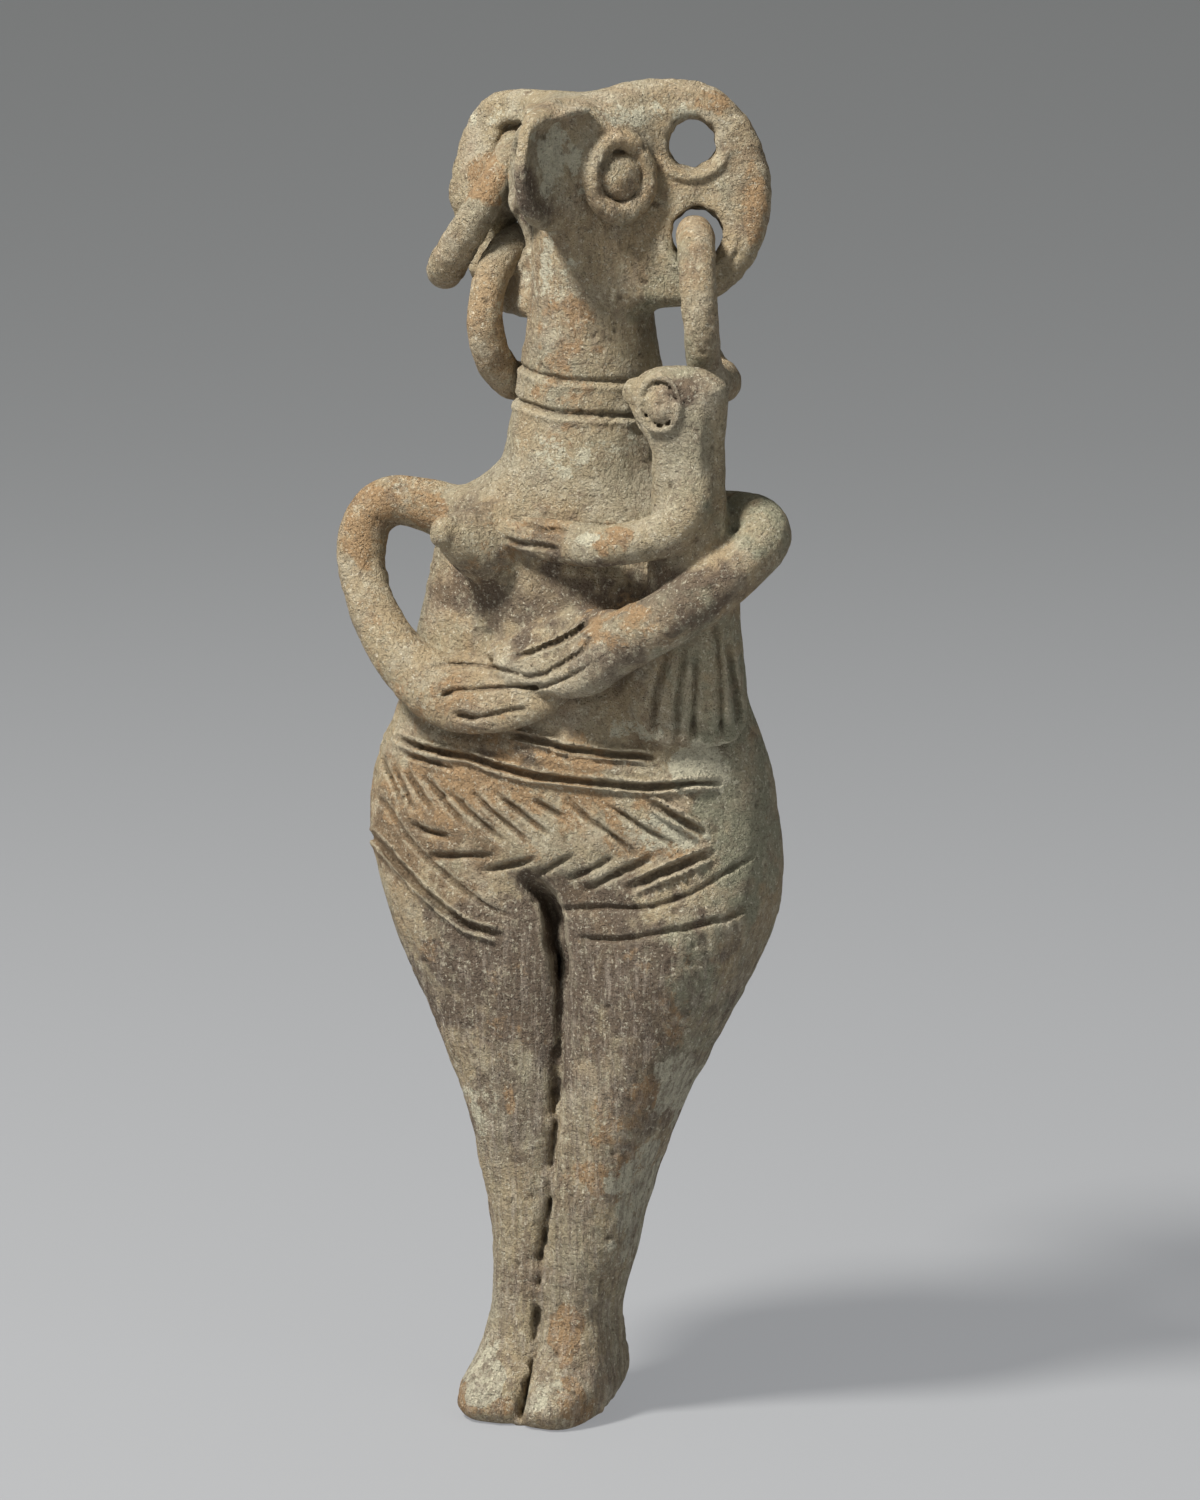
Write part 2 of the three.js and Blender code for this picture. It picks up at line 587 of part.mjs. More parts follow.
function makeFigurine() {
  const clay = unite([
    makeTorso(),
    makeLeg(-1),
    makeLeg(1),
    ...EARS.map(makeEar),
    makeBeak(),
    ...EYES.map(makeEye),
    ...[BREAST, RIGHT_ARM, LEFT_ARM, INFANT_BEAK, INFANT_ARM].map(makeRoll),
    makeInfantBody(),
    makeEye(INFANT_EYE),
    makeSkirt(),
  ]);
  const worn = EARRINGS.reduce((left, ring) => left.subtract(makeEarring(ring, RING_GAP)), clay);
  return carve(worn);
}

// Cuts every incised line. All are placed on the uncut skin first, so that none follows another's groove.
function carve(body) {
  const skin = meshOf(body, 'skin', new THREE.MeshStandardMaterial());
  const cutters = [];
  for (const { lines, half, deep } of INCISED) {
    for (const line of lines) cutters.push(makeCutter(pressLine(skin, line), half, deep));
  }
  for (const line of NECK_LINES) cutters.push(makeNeckCutter(line));
  return largest(cutters.reduce((left, cutter) => left.subtract(cutter), body));
}

// The main body alone, without the crumbs that crossing cuts can leave.
function largest(solid) {
  return solid.decompose().reduce((a, b) => (a.volume() > b.volume() ? a : b));
}

// Spreads extra points along a flat line so that none are further apart than the step.
function subdivide(line, step) {
  const points = [line[0]];
  for (let i = 1; i < line.length; i += 1) {
    const [a, b] = [line[i - 1], line[i]];
    const count = Math.ceil(Math.hypot(b[0] - a[0], b[1] - a[1]) / step);
    for (let k = 1; k <= count; k += 1) points.push([mix(a[0], b[0], k / count), mix(a[1], b[1], k / count)]);
  }
  return points;
}

// Presses a line of the layout plane straight back onto the skin and returns points with their normals.
function pressLine(skin, line) {
  const across = new THREE.Vector3(Math.cos(VIEW_AZIMUTH * DEGREE), Math.sin(VIEW_AZIMUTH * DEGREE), 0);
  const inward = new THREE.Vector3(-across.y, across.x, 0);
  const ray = new THREE.Raycaster();
  const hits = [];
  for (const [along, z] of subdivide(line, LINE_STEP)) {
    const start = across.clone().multiplyScalar(along).addScaledVector(inward, -100).setZ(z);
    ray.set(start, inward);
    const [hit] = ray.intersectObject(skin);
    if (hit) hits.push({ point: hit.point, normal: hit.face.normal });
  }
  return hits;
}

// A V-shaped cutter along a pressed line, thinning out at both ends.
function makeCutter(hits, half, deep) {
  const sections = hits.map(({ point, normal }, i) => {
    const before = hits[Math.max(i - 1, 0)].point;
    const after = hits[Math.min(i + 1, hits.length - 1)].point;
    const tangent = new THREE.Vector3().subVectors(after, before).normalize();
    const side = new THREE.Vector3().crossVectors(normal, tangent).normalize();
    const out = new THREE.Vector3().crossVectors(tangent, side);
    const size = i === 0 || i === hits.length - 1 ? LINE_TIP : 1;
    const mouth = half * size * (1 + LINE_LIFT / deep);
    return [
      point.clone().addScaledVector(side, mouth).addScaledVector(out, LINE_LIFT),
      point.clone().addScaledVector(side, -mouth).addScaledVector(out, LINE_LIFT),
      point.clone().addScaledVector(out, -deep * size),
    ];
  });
  return loft(sections);
}

// A line round the neck as a thin ring lying in its skin.
function makeNeckCutter({ z, roll }) {
  const size = stationAt(TORSO, z);
  const depth = (size.front + size.back) / 2;
  const ring = new THREE.TorusGeometry(size.wide, roll, 4, NECK_LINE_STEPS);
  ring.scale(1, depth / size.wide, 1).translate(size.x, size.y + (size.back - size.front) / 2, z);
  return solidOf(ring);
}

// A clay ring hanging through an ear hole, or the room it needs when grown by a gap.
function makeEarring({ radius, roll, centre, azimuth, tilt, knob }, gap = 0) {
  const ring = new THREE.TorusGeometry(radius, roll + gap, RING_SIDES, RING_STEPS);
  const placed = new THREE.Matrix4().makeTranslation(...centre)
    .multiply(new THREE.Matrix4().makeRotationZ((azimuth - 90) * DEGREE))
    .multiply(new THREE.Matrix4().makeRotationX(tilt * DEGREE))
    .multiply(new THREE.Matrix4().makeRotationX(Math.PI / 2));
  const hoop = solidOf(ring.applyMatrix4(placed));
  return knob ? hoop.add(makeKnob(knob)) : hoop;
}

function makeKnob({ radius, place }) {
  const lump = new THREE.SphereGeometry(radius, KNOB_SIDES, KNOB_RINGS);
  lump.rotateX(Math.PI / 2).translate(...place);
  return solidOf(lump);
}

// Draws corners that lie closer than a hair together into one and drops the flat triangles this leaves.
function weld(geometry) {
  const welded = mergeVertices(geometry, WELD_WITHIN);
  const corners = welded.index.array;
  const kept = [];
  for (let i = 0; i < corners.length; i += 3) {
    const [a, b, c] = corners.subarray(i, i + 3);
    if (a !== b && b !== c && c !== a) kept.push(a, b, c);
  }
  welded.setIndex(kept);
  return welded;
}

function meshOf(solid, name, material) {
  const { vertProperties, triVerts } = solid.getMesh();
  const cut = new THREE.BufferGeometry();
  cut.setAttribute('position', new THREE.BufferAttribute(vertProperties, 3));
  cut.setIndex(new THREE.BufferAttribute(triVerts, 1));
  const geometry = weld(cut);
  const mesh = new THREE.Mesh(geometry, material);
  mesh.name = name;
  return mesh;
}

function clayMaterial(color) {
  return new THREE.MeshStandardMaterial({ color, roughness: 0.92, metalness: 0 });
}

const group = new THREE.Group();
group.add(meshOf(makeFigurine(), 'figurine', clayMaterial(0xa8926f)));
for (const ring of EARRINGS) group.add(meshOf(makeEarring(ring), ring.name, clayMaterial(0xa48a63)));

group.position.set(...ORIGIN_SHIFT);

export default group;
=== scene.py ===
from collections import namedtuple
from math import atan, cos, pi, radians, sin

import bpy
import numpy as np
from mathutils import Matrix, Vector


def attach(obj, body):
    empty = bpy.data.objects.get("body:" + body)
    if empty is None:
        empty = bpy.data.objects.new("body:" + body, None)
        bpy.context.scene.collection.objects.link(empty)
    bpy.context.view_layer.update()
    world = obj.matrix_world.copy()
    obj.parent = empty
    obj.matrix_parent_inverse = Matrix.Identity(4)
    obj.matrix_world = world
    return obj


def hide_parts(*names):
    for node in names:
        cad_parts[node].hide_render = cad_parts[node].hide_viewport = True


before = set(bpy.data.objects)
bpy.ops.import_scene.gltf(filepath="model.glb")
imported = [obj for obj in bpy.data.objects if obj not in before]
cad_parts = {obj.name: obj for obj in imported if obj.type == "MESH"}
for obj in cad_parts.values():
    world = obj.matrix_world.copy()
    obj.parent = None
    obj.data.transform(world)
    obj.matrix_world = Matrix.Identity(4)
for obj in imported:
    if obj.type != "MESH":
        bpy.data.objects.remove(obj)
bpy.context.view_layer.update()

# The modelling frame is in millimetres. This shift puts its origin under the middle of the whole.
ORIGIN_SHIFT = (-0.1, -2.7, 0.0)
MM = 0.001

# Viewpoint of the photograph, and the plane on which incised lines are laid out.
VIEW_AZIMUTH = radians(25)
VIEW_ELEVATION = radians(12)
VIEW_DISTANCE = 1500.0
VIEW_AIM = (3.35, 1.56, 104.05)
VIEW_HEIGHT = 230.8

# Cell of the sampling grid, cells along the coarse blocks that find the skin, and how many blocks
# away from it they are refined. Batches save memory.
CELL = 0.5
BLOCK = 4
NEAR_SKIN = 1.35
COARSE_BATCHES = 8
BATCH_BLOCKS = 3000
BODY_BOX = ((-40.0, -22.0, -2.0), (40.0, 24.0, 210.0))
BODY_TRIANGLES = 195000
RING_CELL = 0.4
RING_TRIANGLES = 30000
RING_MARGIN = 4
# How far round its part a field is worked out, and its value further away.
FIELD_MARGIN = 5
FAR = 9.0
# Keeps distances finite at the very centre of an oval, where the slope is nothing.
LEAST_SLOPE = 1e-3

# Torso, neck and head: height, centre x and y, half width, front and back depth, squareness.
TORSO = [
    (78, 0, 1, 31, 14.5, 16, 2.4),
    (84, -0.5, 1.3, 32.9, 14.6, 16.8, 2.4),
    (90, -1.1, 1.5, 33.6, 15.2, 17.8, 2.35),
    (96, -1.2, 1.5, 33.3, 15, 16.6, 2.3),
    (102, -0.8, 1.2, 32.5, 14.2, 14.8, 2.2),
    (108, -0.1, 0.9, 30.4, 13.2, 12.8, 2.1),
    (115, 0, 0.6, 28.3, 12, 11.2, 2),
    (125, 0, 0.5, 26, 10.8, 10.2, 2),
    (135, 0.2, 0.6, 23.8, 10.2, 10, 2),
    (142, 0, 1, 21.8, 10.2, 9.8, 2),
    (145.5, 0.4, 1.6, 16.8, 10.3, 9.4, 2),
    (149, 0.6, 2.2, 13.3, 10.6, 9.4, 2),
    (153, 0.8, 2.8, 12.5, 10.6, 9.5, 2),
    (158, 0.8, 3.4, 11.7, 10.3, 9.6, 2),
    (166, 0.8, 3.9, 10.5, 10, 9.6, 2),
    (176, 0.8, 4.5, 9.2, 9.8, 9.5, 2),
    (186, 0.7, 4.7, 9.1, 9.8, 9.3, 2),
    (196, 0, 5.6, 9.4, 9.6, 8.4, 2),
    (202, 0, 6.4, 8.8, 8.8, 6.8, 2),
    (204.4, 0, 6.6, 6.4, 6.4, 4.6, 2),
]

# The pair of legs: height, centre x and y, half width, front and back depth, heel narrowing, and
# place of the split.
LEGS = [
    (0, -3.2, -4.7, 11.2, 12.2, 11.4, 0.3, -2.2),
    (2.4, -3.3, -4.7, 11.9, 13.2, 11.6, 0.25, -2.2),
    (5, -2.9, -4.5, 12.1, 12.4, 11.4, 0.1, -2.2),
    (8, -2.4, -4.2, 11.3, 9.8, 10.4, 0, -2.2),
    (12, -1.9, -4, 10.6, 8, 8.8, 0, -2),
    (18, -1.3, -3.8, 10.2, 7.4, 7.6, 0, -1.7),
    (26, -0.3, -3.2, 11.2, 8, 8.2, 0, -1.1),
    (34, 0, -2.7, 12.5, 8.7, 9, 0, -0.1),
    (42, 0.1, -2, 14.6, 9.8, 9.8, 0, 0.7),
    (50, 0.3, -1.4, 17.4, 11, 10.8, 0, 1.3),
    (58, 0.5, -0.7, 21.3, 12.2, 12, 0, 1.9),
    (66, 0.3, 0, 25.5, 13.2, 13.4, 0, 2.3),
    (74, 0.2, 0.6, 29.4, 14.2, 15.2, 0, 2.3),
    (80, 0, 1, 31.5, 14.5, 16.2, 0, 1.4),
    (84, -0.4, 1.3, 32.6, 14.3, 16.6, 0, 0),
    (90, -1.1, 1.5, 33.3, 14.4, 17.2, 0, -1.2),
    (98, -1.1, 1.4, 33, 14, 16, 0, -1.7),
]
# Heights between which the legs pass over into the torso.
HIP_BLEND = (81.0, 91.0)
# The soles rise towards the heels: where from, how steeply and how softly. Their edge is rounded.
SOLE_START = -12.5
SOLE_RISE = 0.26
SOLE_BEND = 3.0
SOLE_EDGE = 1.2
LEG_SQUARE = 2.3
LEG_INNER_SQUARE = 4.0
LEG_OVERLAP = 0.5
# Softness of the split between the legs, and the height below which it is partly filled.
LEG_MERGE = 0.4
FILL_TOP = 72
FILL_FADE = 8
# Rounding of the top of the head, and of the infant's.
TOP_LIFT = 0.3
TOP_ROUND = 3.0

# Rolls of clay: x, y, z, half width, half depth along each.
ARM_FACING = (0, -0.9, 0.45)
RIGHT_ARM = [
    (-13, 2, 139.6, 5.2, 5), (-19, 1, 138.8, 4.6, 4.6), (-25, 0, 140.4, 4.2, 4.2), (-30.2, -1.5, 141, 3.9, 4),
    (-33.5, -3, 138.4, 3.7, 3.8), (-34.4, -4.5, 134, 3.7, 3.7), (-33, -6, 128.4, 3.7, 3.7),
    (-29.9, -8, 123.4, 3.9, 3.8), (-25, -10, 118.4, 4.3, 4), (-19, -11.4, 114.8, 5.2, 3.9),
    (-13, -12.2, 113.6, 5.8, 3.3), (-6.5, -12.6, 113.8, 5.4, 2.7), (-0.5, -12.4, 115, 4, 2.3),
    (4, -11.9, 117, 2.3, 1.6),
]
LEFT_ARM = [
    (14, 2.4, 142, 4.6, 4.6), (21, 1.4, 141.6, 4.4, 4.4), (27, -0.2, 142.4, 4.3, 4.3),
    (31.6, -2.6, 142.6, 4.2, 4.2), (34, -5.4, 140.8, 4.2, 4.2), (32.6, -8.4, 138, 4.2, 4.2),
    (29.5, -11, 134.8, 4.3, 4.3), (25, -13.6, 131.2, 4.4, 4.4), (19.4, -15.4, 127.6, 4.5, 4.4),
    (13.5, -15.6, 124.4, 5, 4.2), (8.5, -14.8, 121.8, 5.8, 3.6), (4, -14, 120.4, 5.3, 2.9),
    (-1, -13, 119.8, 3.8, 2.3), (-6.8, -12.1, 119.6, 2.3, 1.5),
]
UPPER_FINGER = [
    (13, -14.3, 127.4, 2.4, 2), (6.8, -11.6, 126.4, 2.2, 1.6), (2.7, -11.3, 125, 2.3, 1.5),
    (-1.4, -11.5, 123.2, 2.3, 1.4), (-5.2, -11.8, 121.8, 2, 1.2), (-9.3, -10.7, 120.8, 1.2, 0.8),
]
BREAST = [(-9.6, -4, 136.4, 7.4, 8.2), (-11.4, -9, 137.2, 5.7, 6.4), (-13.4, -12.8, 138.5, 4, 4.5),
          (-14.9, -15.4, 139.6, 2.5, 2.9)]
INFANT_BEAK = [(23, -10.4, 160, 6.4, 3.6), (19.2, -10.6, 161, 5.6, 3.2), (16.6, -10.7, 162.1, 3.9, 2.5),
               (14.9, -10.7, 162.6, 2.2, 1.8)]
INFANT_ARM = [
    (23.6, -10.6, 152, 3.6, 3), (24.8, -12, 147, 3.8, 3.4), (22.6, -13.4, 142.8, 3.7, 3.4),
    (17, -15, 140.6, 3.4, 3.2), (11, -14.6, 139.4, 3.3, 2.9), (5, -12.8, 139.2, 3.4, 2.1),
    (0, -11.6, 139.2, 3.3, 1.7), (-6.4, -10.4, 139.4, 2.5, 1.3),
]

# The infant's body: height, centre x and y, half width, front and back depth, squareness.
INFANT = [
    (112, 23.4, -6, 6.6, 4.4, 6, 2.3),
    (120, 23.4, -7, 7.4, 5, 6, 2.3),
    (130, 23.3, -8, 7.2, 5.2, 6, 2.3),
    (138, 23.2, -8.4, 6.6, 5.2, 6, 2.3),
    (144, 23.2, -8.8, 6.2, 5, 5.6, 2.3),
    (149, 23.2, -9.4, 5.6, 4.4, 4.6, 2.3),
    (155, 23.4, -9.9, 5.4, 4.1, 4.1, 2.3),
    (160, 23.3, -10.2, 6.2, 4.1, 4, 2.3),
    (164.4, 23, -10.4, 6.6, 4, 3.8, 2.3),
    (166.6, 22.6, -10.4, 5.4, 2.8, 2.8, 2.3),
]
INFANT_BOX = ((14, -16, 110), (32, 0, 168))

# Upright sections of the beak: y, top, bottom, half thickness.
BEAK = [
    (4, 204.6, 185.6, 9.8),
    (-2, 205.3, 185.8, 7.8),
    (-6, 205.5, 186, 4.9),
    (-10, 205.1, 186.6, 2.5),
    (-14, 203.8, 188.2, 1.2),
    (-17, 201.6, 191, 0.8),
    (-18.4, 199, 194, 0.6),
]
# Thick rolled edge of the beak: x, y, z, half width, half depth, from its underside round to the crown.
BEAK_RIM = [
    (-0.3, -6.8, 187.2, 1.2, 1.2), (-0.3, -12.8, 188.2, 1.1, 1.2), (-0.3, -17.2, 191.6, 0.9, 1.1),
    (-0.3, -18.9, 196.2, 0.85, 1.1), (-0.3, -18.2, 199.6, 0.85, 1.1), (-0.3, -16.2, 202.5, 1, 1.1),
    (-0.3, -12.2, 203.9, 1.2, 1.2), (-0.3, -7.4, 204.8, 1.3, 1.2),
]
BROWS = [
    [(-0.3, -14.5, 203.3, 1, 0.8), (side * 1.6 - 0.3, -11, 203.7, 1.2, 0.9),
     (side * 3.2 - 0.3, -8.2, 204.2, 1.1, 0.8), (side * 4.8 - 0.3, -5.6, 204.4, 0.8, 0.5)]
    for side in (1, -1)
]
BEAK_X = -0.3
BEAK_SQUARE = 2.8
BEAK_BOX = ((-10, -20, 182), (10, 6, 207))
# Half width of the boxes in which an ear, its holes and an eye are worked out.
EAR_SPAN = 18
HOLE_SPAN = 22
EYE_SPAN = 9
# From this height up, the ears and the beak run more and more softly into the crown.
CROWN_START = 190

# Ear plates. Square is how full the corners are above and below. A hole is along, up and radius.
Ear = namedtuple("Ear", "side centre outer square merge holes")
EARS = [
    Ear(1, (13.4, 7.4, 190.4), 14.4, (2.05, 2.05), 3, ((2.4, 7.8, 3.7), (3.2, -6.2, 3.9))),
    Ear(-1, (-12.8, 7.2, 187.3), 14.8, (2.8, 1.8), 0.7, ((1.2, 8.8, 3.65), (0.4, -5.4, 3.8))),
]
EAR_SWEEP = radians(25)
EAR_LEAN = radians(12)
EAR_THICK = 6.4
EAR_ROUND = 2.2
EAR_INNER = 15.0
EAR_HIGH = 17.2
EAR_INNER_POWER = 3.4
CROWN_DIP = 2.6
# Half of how far the front of her right ear's lobe is set back, from what height down and how softly.
LOBE_RECESS = 1.2
LOBE_TOP = -1
LOBE_FADE = 5
# Lip of clay pushed out below each hole: distance from the hole's edge, and radius.
LIP_OFFSET = 1.9
LIP_ROLL = 0.85

# Eyes. Radius and roll are the rim's, tall is the stretch upwards, and rise is the button's.
Eye = namedtuple("Eye", "place azimuth tilt radius roll tall button rise")
EYES = [
    Eye((8.3, -2.05, 193.95), 54, 6, 6.2, 1.3, 1.12, 3.1, 1.7),
    Eye((-7.8, -2.35, 193.95), -56, 6, 6.2, 1.3, 1.12, 3.1, 1.7),
]
INFANT_EYE = Eye((20.8, -14.5, 161.9), -6, 2, 3.9, 0.5, 1.2, 2.5, 1.3)
BUTTON_WIDE = 1.12
BUTTON_SUNK = 0.3

# Skirt of the infant: height, first and last azimuth, lift off the torso.
SKIRT = [
    (108, 40, 56, 1.2),
    (109.6, 34, 66, 2.2),
    (114, 29, 76, 2.4),
    (119, 28, 80, 2.6),
    (124, 33, 80, 2.8),
    (130, 40, 80, 2.6),
]
SKIRT_TOP = 134

# Earrings. Azimuth and tilt are the plane's, and the joint is an angle round the ring.
Ring = namedtuple("Ring", "node radius roll centre azimuth tilt joint")
EARRINGS = [
    Ring("earring_left_lower", 11.4, 2.75, (18.6, 5, 173.4), 25, 4, -1.6),
    Ring("earring_right_upper", 11.5, 2.85, (-20.8, 10.7, 185.8), 20, -30, 2.4),
    Ring("earring_right_lower", 10.8, 2.85, (-12.7, 8.8, 170.2), -10, 2, 4),
]
# The foot of one ring is bent out of its plane and has a knob.
KNOB_RING = "earring_left_lower"
KNOB_PLACE = (22.0, 6.5, 162.4)
KNOB_RADIUS = 2.2
KNOB_BEND = 2.2

# Lines round the neck: height at its middle, depth. They sink a little towards her left.
NECK_LINES = [(163.05, 0.7), (157.95, 0.9)]
NECK_LINE_SLOPE = 0.05
NECK_LINE_HALF = 0.42

# Pressed lines: half width, depth, burr beside them as a share of the depth, share of their length that
# thins out at each end, and the lines themselves, as distances across and up the layout plane.
HANDS = (0.45, 0.85, 0.5, 0.2, [
    [(-26, 12.6), (-22.9, 13.2), (-19.6, 13.1), (-16.2, 12.7), (-13.4, 11.9), (-11.2, 11.1), (-8.4, 11.6),
     (-5.6, 13.3), (-2.8, 15.2), (-1.4, 17.3)],
    [(-24.2, 8.4), (-22.4, 9.2), (-19, 9.4), (-15.7, 9.6), (-11.7, 9.7), (-8.4, 9.8), (-5.6, 10.8),
     (-2.8, 12.2), (-1.7, 13.3)],
    [(-21.8, 5.3), (-19.6, 4.9), (-16.8, 5.5), (-14, 6.1), (-11.2, 6.3)],
    [(-13, 14.1), (-10.1, 15.2), (-6.7, 16.6), (-3.9, 18), (-1.7, 19.6)],
])
HAND_PITS = (0.7, 1.1, 0.1, 0.4, [[(-24.4, 8.3), (-22.4, 9)], [(-22, 5.4), (-19.2, 5.1)]])
INFANT_HAND = (0.5, 0.75, 0.35, 0.12, [
    [(-13.7, 36), (-11.1, 34.6), (-8.9, 33.8), (-6.8, 33.8), (-4.8, 33.4)],
    [(-14.9, 32.8), (-12.6, 31.8), (-10, 31.5), (-6.2, 30.9)],
])
INFANT_BACK = (1.2, 0.6, 0.2, 0.3, [[(17.2, 53.4), (16.9, 43.1), (17.8, 30.8)]])
SKIRT_LINES = (0.75, 0.95, 0.5, 0.2, [
    [(10.9, 16.6), (8.8, 8.6), (8, 1.7)],
    [(13.2, 16.3), (12.2, 8.6), (11.7, 0.9)],
    [(14.9, 15.4), (14.3, 1.2)],
    [(17.7, 20.6), (18.5, 11.4), (18.6, 1.7)],
    [(19.5, 16.8), (20.6, 8.6), (21.1, 4.5)],
])
GIRDLE_LOW = (0.55, 0.95, 1.1, 0.06, [
    [(-31.2, 1.8), (-26.6, 0.2), (-20.5, -1.1), (-16.2, -2.6), (-9.8, -4.2), (0, -5.1), (6.8, -5.7),
     (13.8, -5.2), (18.3, -5.1)],
])
GIRDLE_TOP = (0.5, 0.9, 1.1, 0.06, [
    [(-13.4, 2.1), (-9.5, 1.4), (-5.6, 0.3), (-0.6, -0.5), (3.9, -0.8), (8.4, -1.3)],
])
GIRDLE_CORD = (1.3, 0.7, 0, 0.1, [
    [(-29, 3), (-22, 1.4), (-15.1, 0.3), (-9, -1.4), (-3, -2.5), (4, -3.3), (10, -3.7),
     (17.5, -4)],
])
GIRDLE_THIN = (0.45, 0.7, 0.35, 0.12, [[(-30.2, -0.6), (-22.3, -2.9)]])
UPPER_STROKES = (0.62, 1.15, 0.9, 0.3, [
    [(-33.2, -1.1), (-30.2, -8.6)], [(-31.5, -2.9), (-28.6, -9.2)], [(-29.7, -3.1), (-25.8, -9.5)],
    [(-27.1, -3.8), (-20.6, -11.8)], [(-23.1, -6.5), (-14.8, -14.2)], [(-19.5, -6.5), (-11.2, -14.2)],
    [(-16, -6.6), (-7.7, -13.1)], [(-10.2, -7.7), (-5.1, -10.6)], [(-5.1, -7.8), (5.7, -16.3)],
    [(0.9, -8.3), (11.5, -14.9)], [(8, -8.2), (15.7, -12.8)],
])
LOWER_STROKES = (0.7, 1.2, 0.9, 0.3, [
    [(-28.9, -11.4), (-22.8, -13.7)], [(-26.3, -16.2), (-16.5, -16.3)], [(-17.7, -18.5), (-10.3, -16.8)],
    [(-9.8, -19.2), (-4.2, -16.2)], [(-4.3, -19.8), (1.8, -16.8)], [(-2.2, -21.5), (8, -16.6)],
    [(4.6, -21.2), (16.9, -15.8)],
])
THIGH_LINES = (0.6, 0.8, 1.1, 0.12, [
    [(-6.2, -24.3), (7.7, -24.2), (13.8, -22.3), (19.2, -19.1), (23.4, -16.2)],
    [(-3.5, -29.1), (5.5, -29.1), (8, -28.3), (19.7, -26), (23.2, -23.8)],
    [(-34.2, -7.2), (-32.2, -9.5), (-29.8, -13.2), (-26.6, -16.6), (-22.8, -20.2), (-19.1, -22.9),
     (-16.2, -24.8), (-13.4, -25.5)],
    [(-35.1, -13.2), (-33.4, -14.8), (-31.1, -17.7), (-27.5, -21.5), (-24, -24.8), (-20.5, -26.9),
     (-15.1, -28.6)],
])
CLEFT_TOP = (1.3, 3.6, 0.12, 0.35, [
    [(-11.2, -20), (-8.2, -23.1), (-7.2, -26.2), (-7.2, -29.2), (-6.3, -32.3), (-6.2, -35.4)],
])
CLEFT = (0.65, 2, 0, 0.02, [
    [(-6.6, -30.9), (-6.3, -37), (-6.6, -46), (-6.9, -54), (-7.1, -62), (-7.2, -67),
     (-8.4, -73), (-9.2, -79), (-9.5, -85), (-10, -92), (-12, -103)],
])
# Those of the body and hands are pressed into what lies in front of this y.
FRONT_SIDE = 2
# How softly each part is worked into the rest.
BLEND = {
    "eye groove": 0.5, "eye rim": 0.7, "eye button": 0.4, "beak": 0.8, "brow": 1.4,
    "lip": 0.45, "hole": 0.8, "breast": 1.2, "arms": 1.4, "finger": 0.7, "knob": 1.2, "infant": 0.9,
    "infant arm": 0.9, "infant foot": 2, "infant beak": 2, "skirt": 1.6, "skirt edge": 1.2,
}

PIT_DEPTH = 0.45
# How far round a point its bend is felt, and the height over which the relief fades to the floor.
BEND_REACH = 0.8
FLOOR_FADE = 1.5

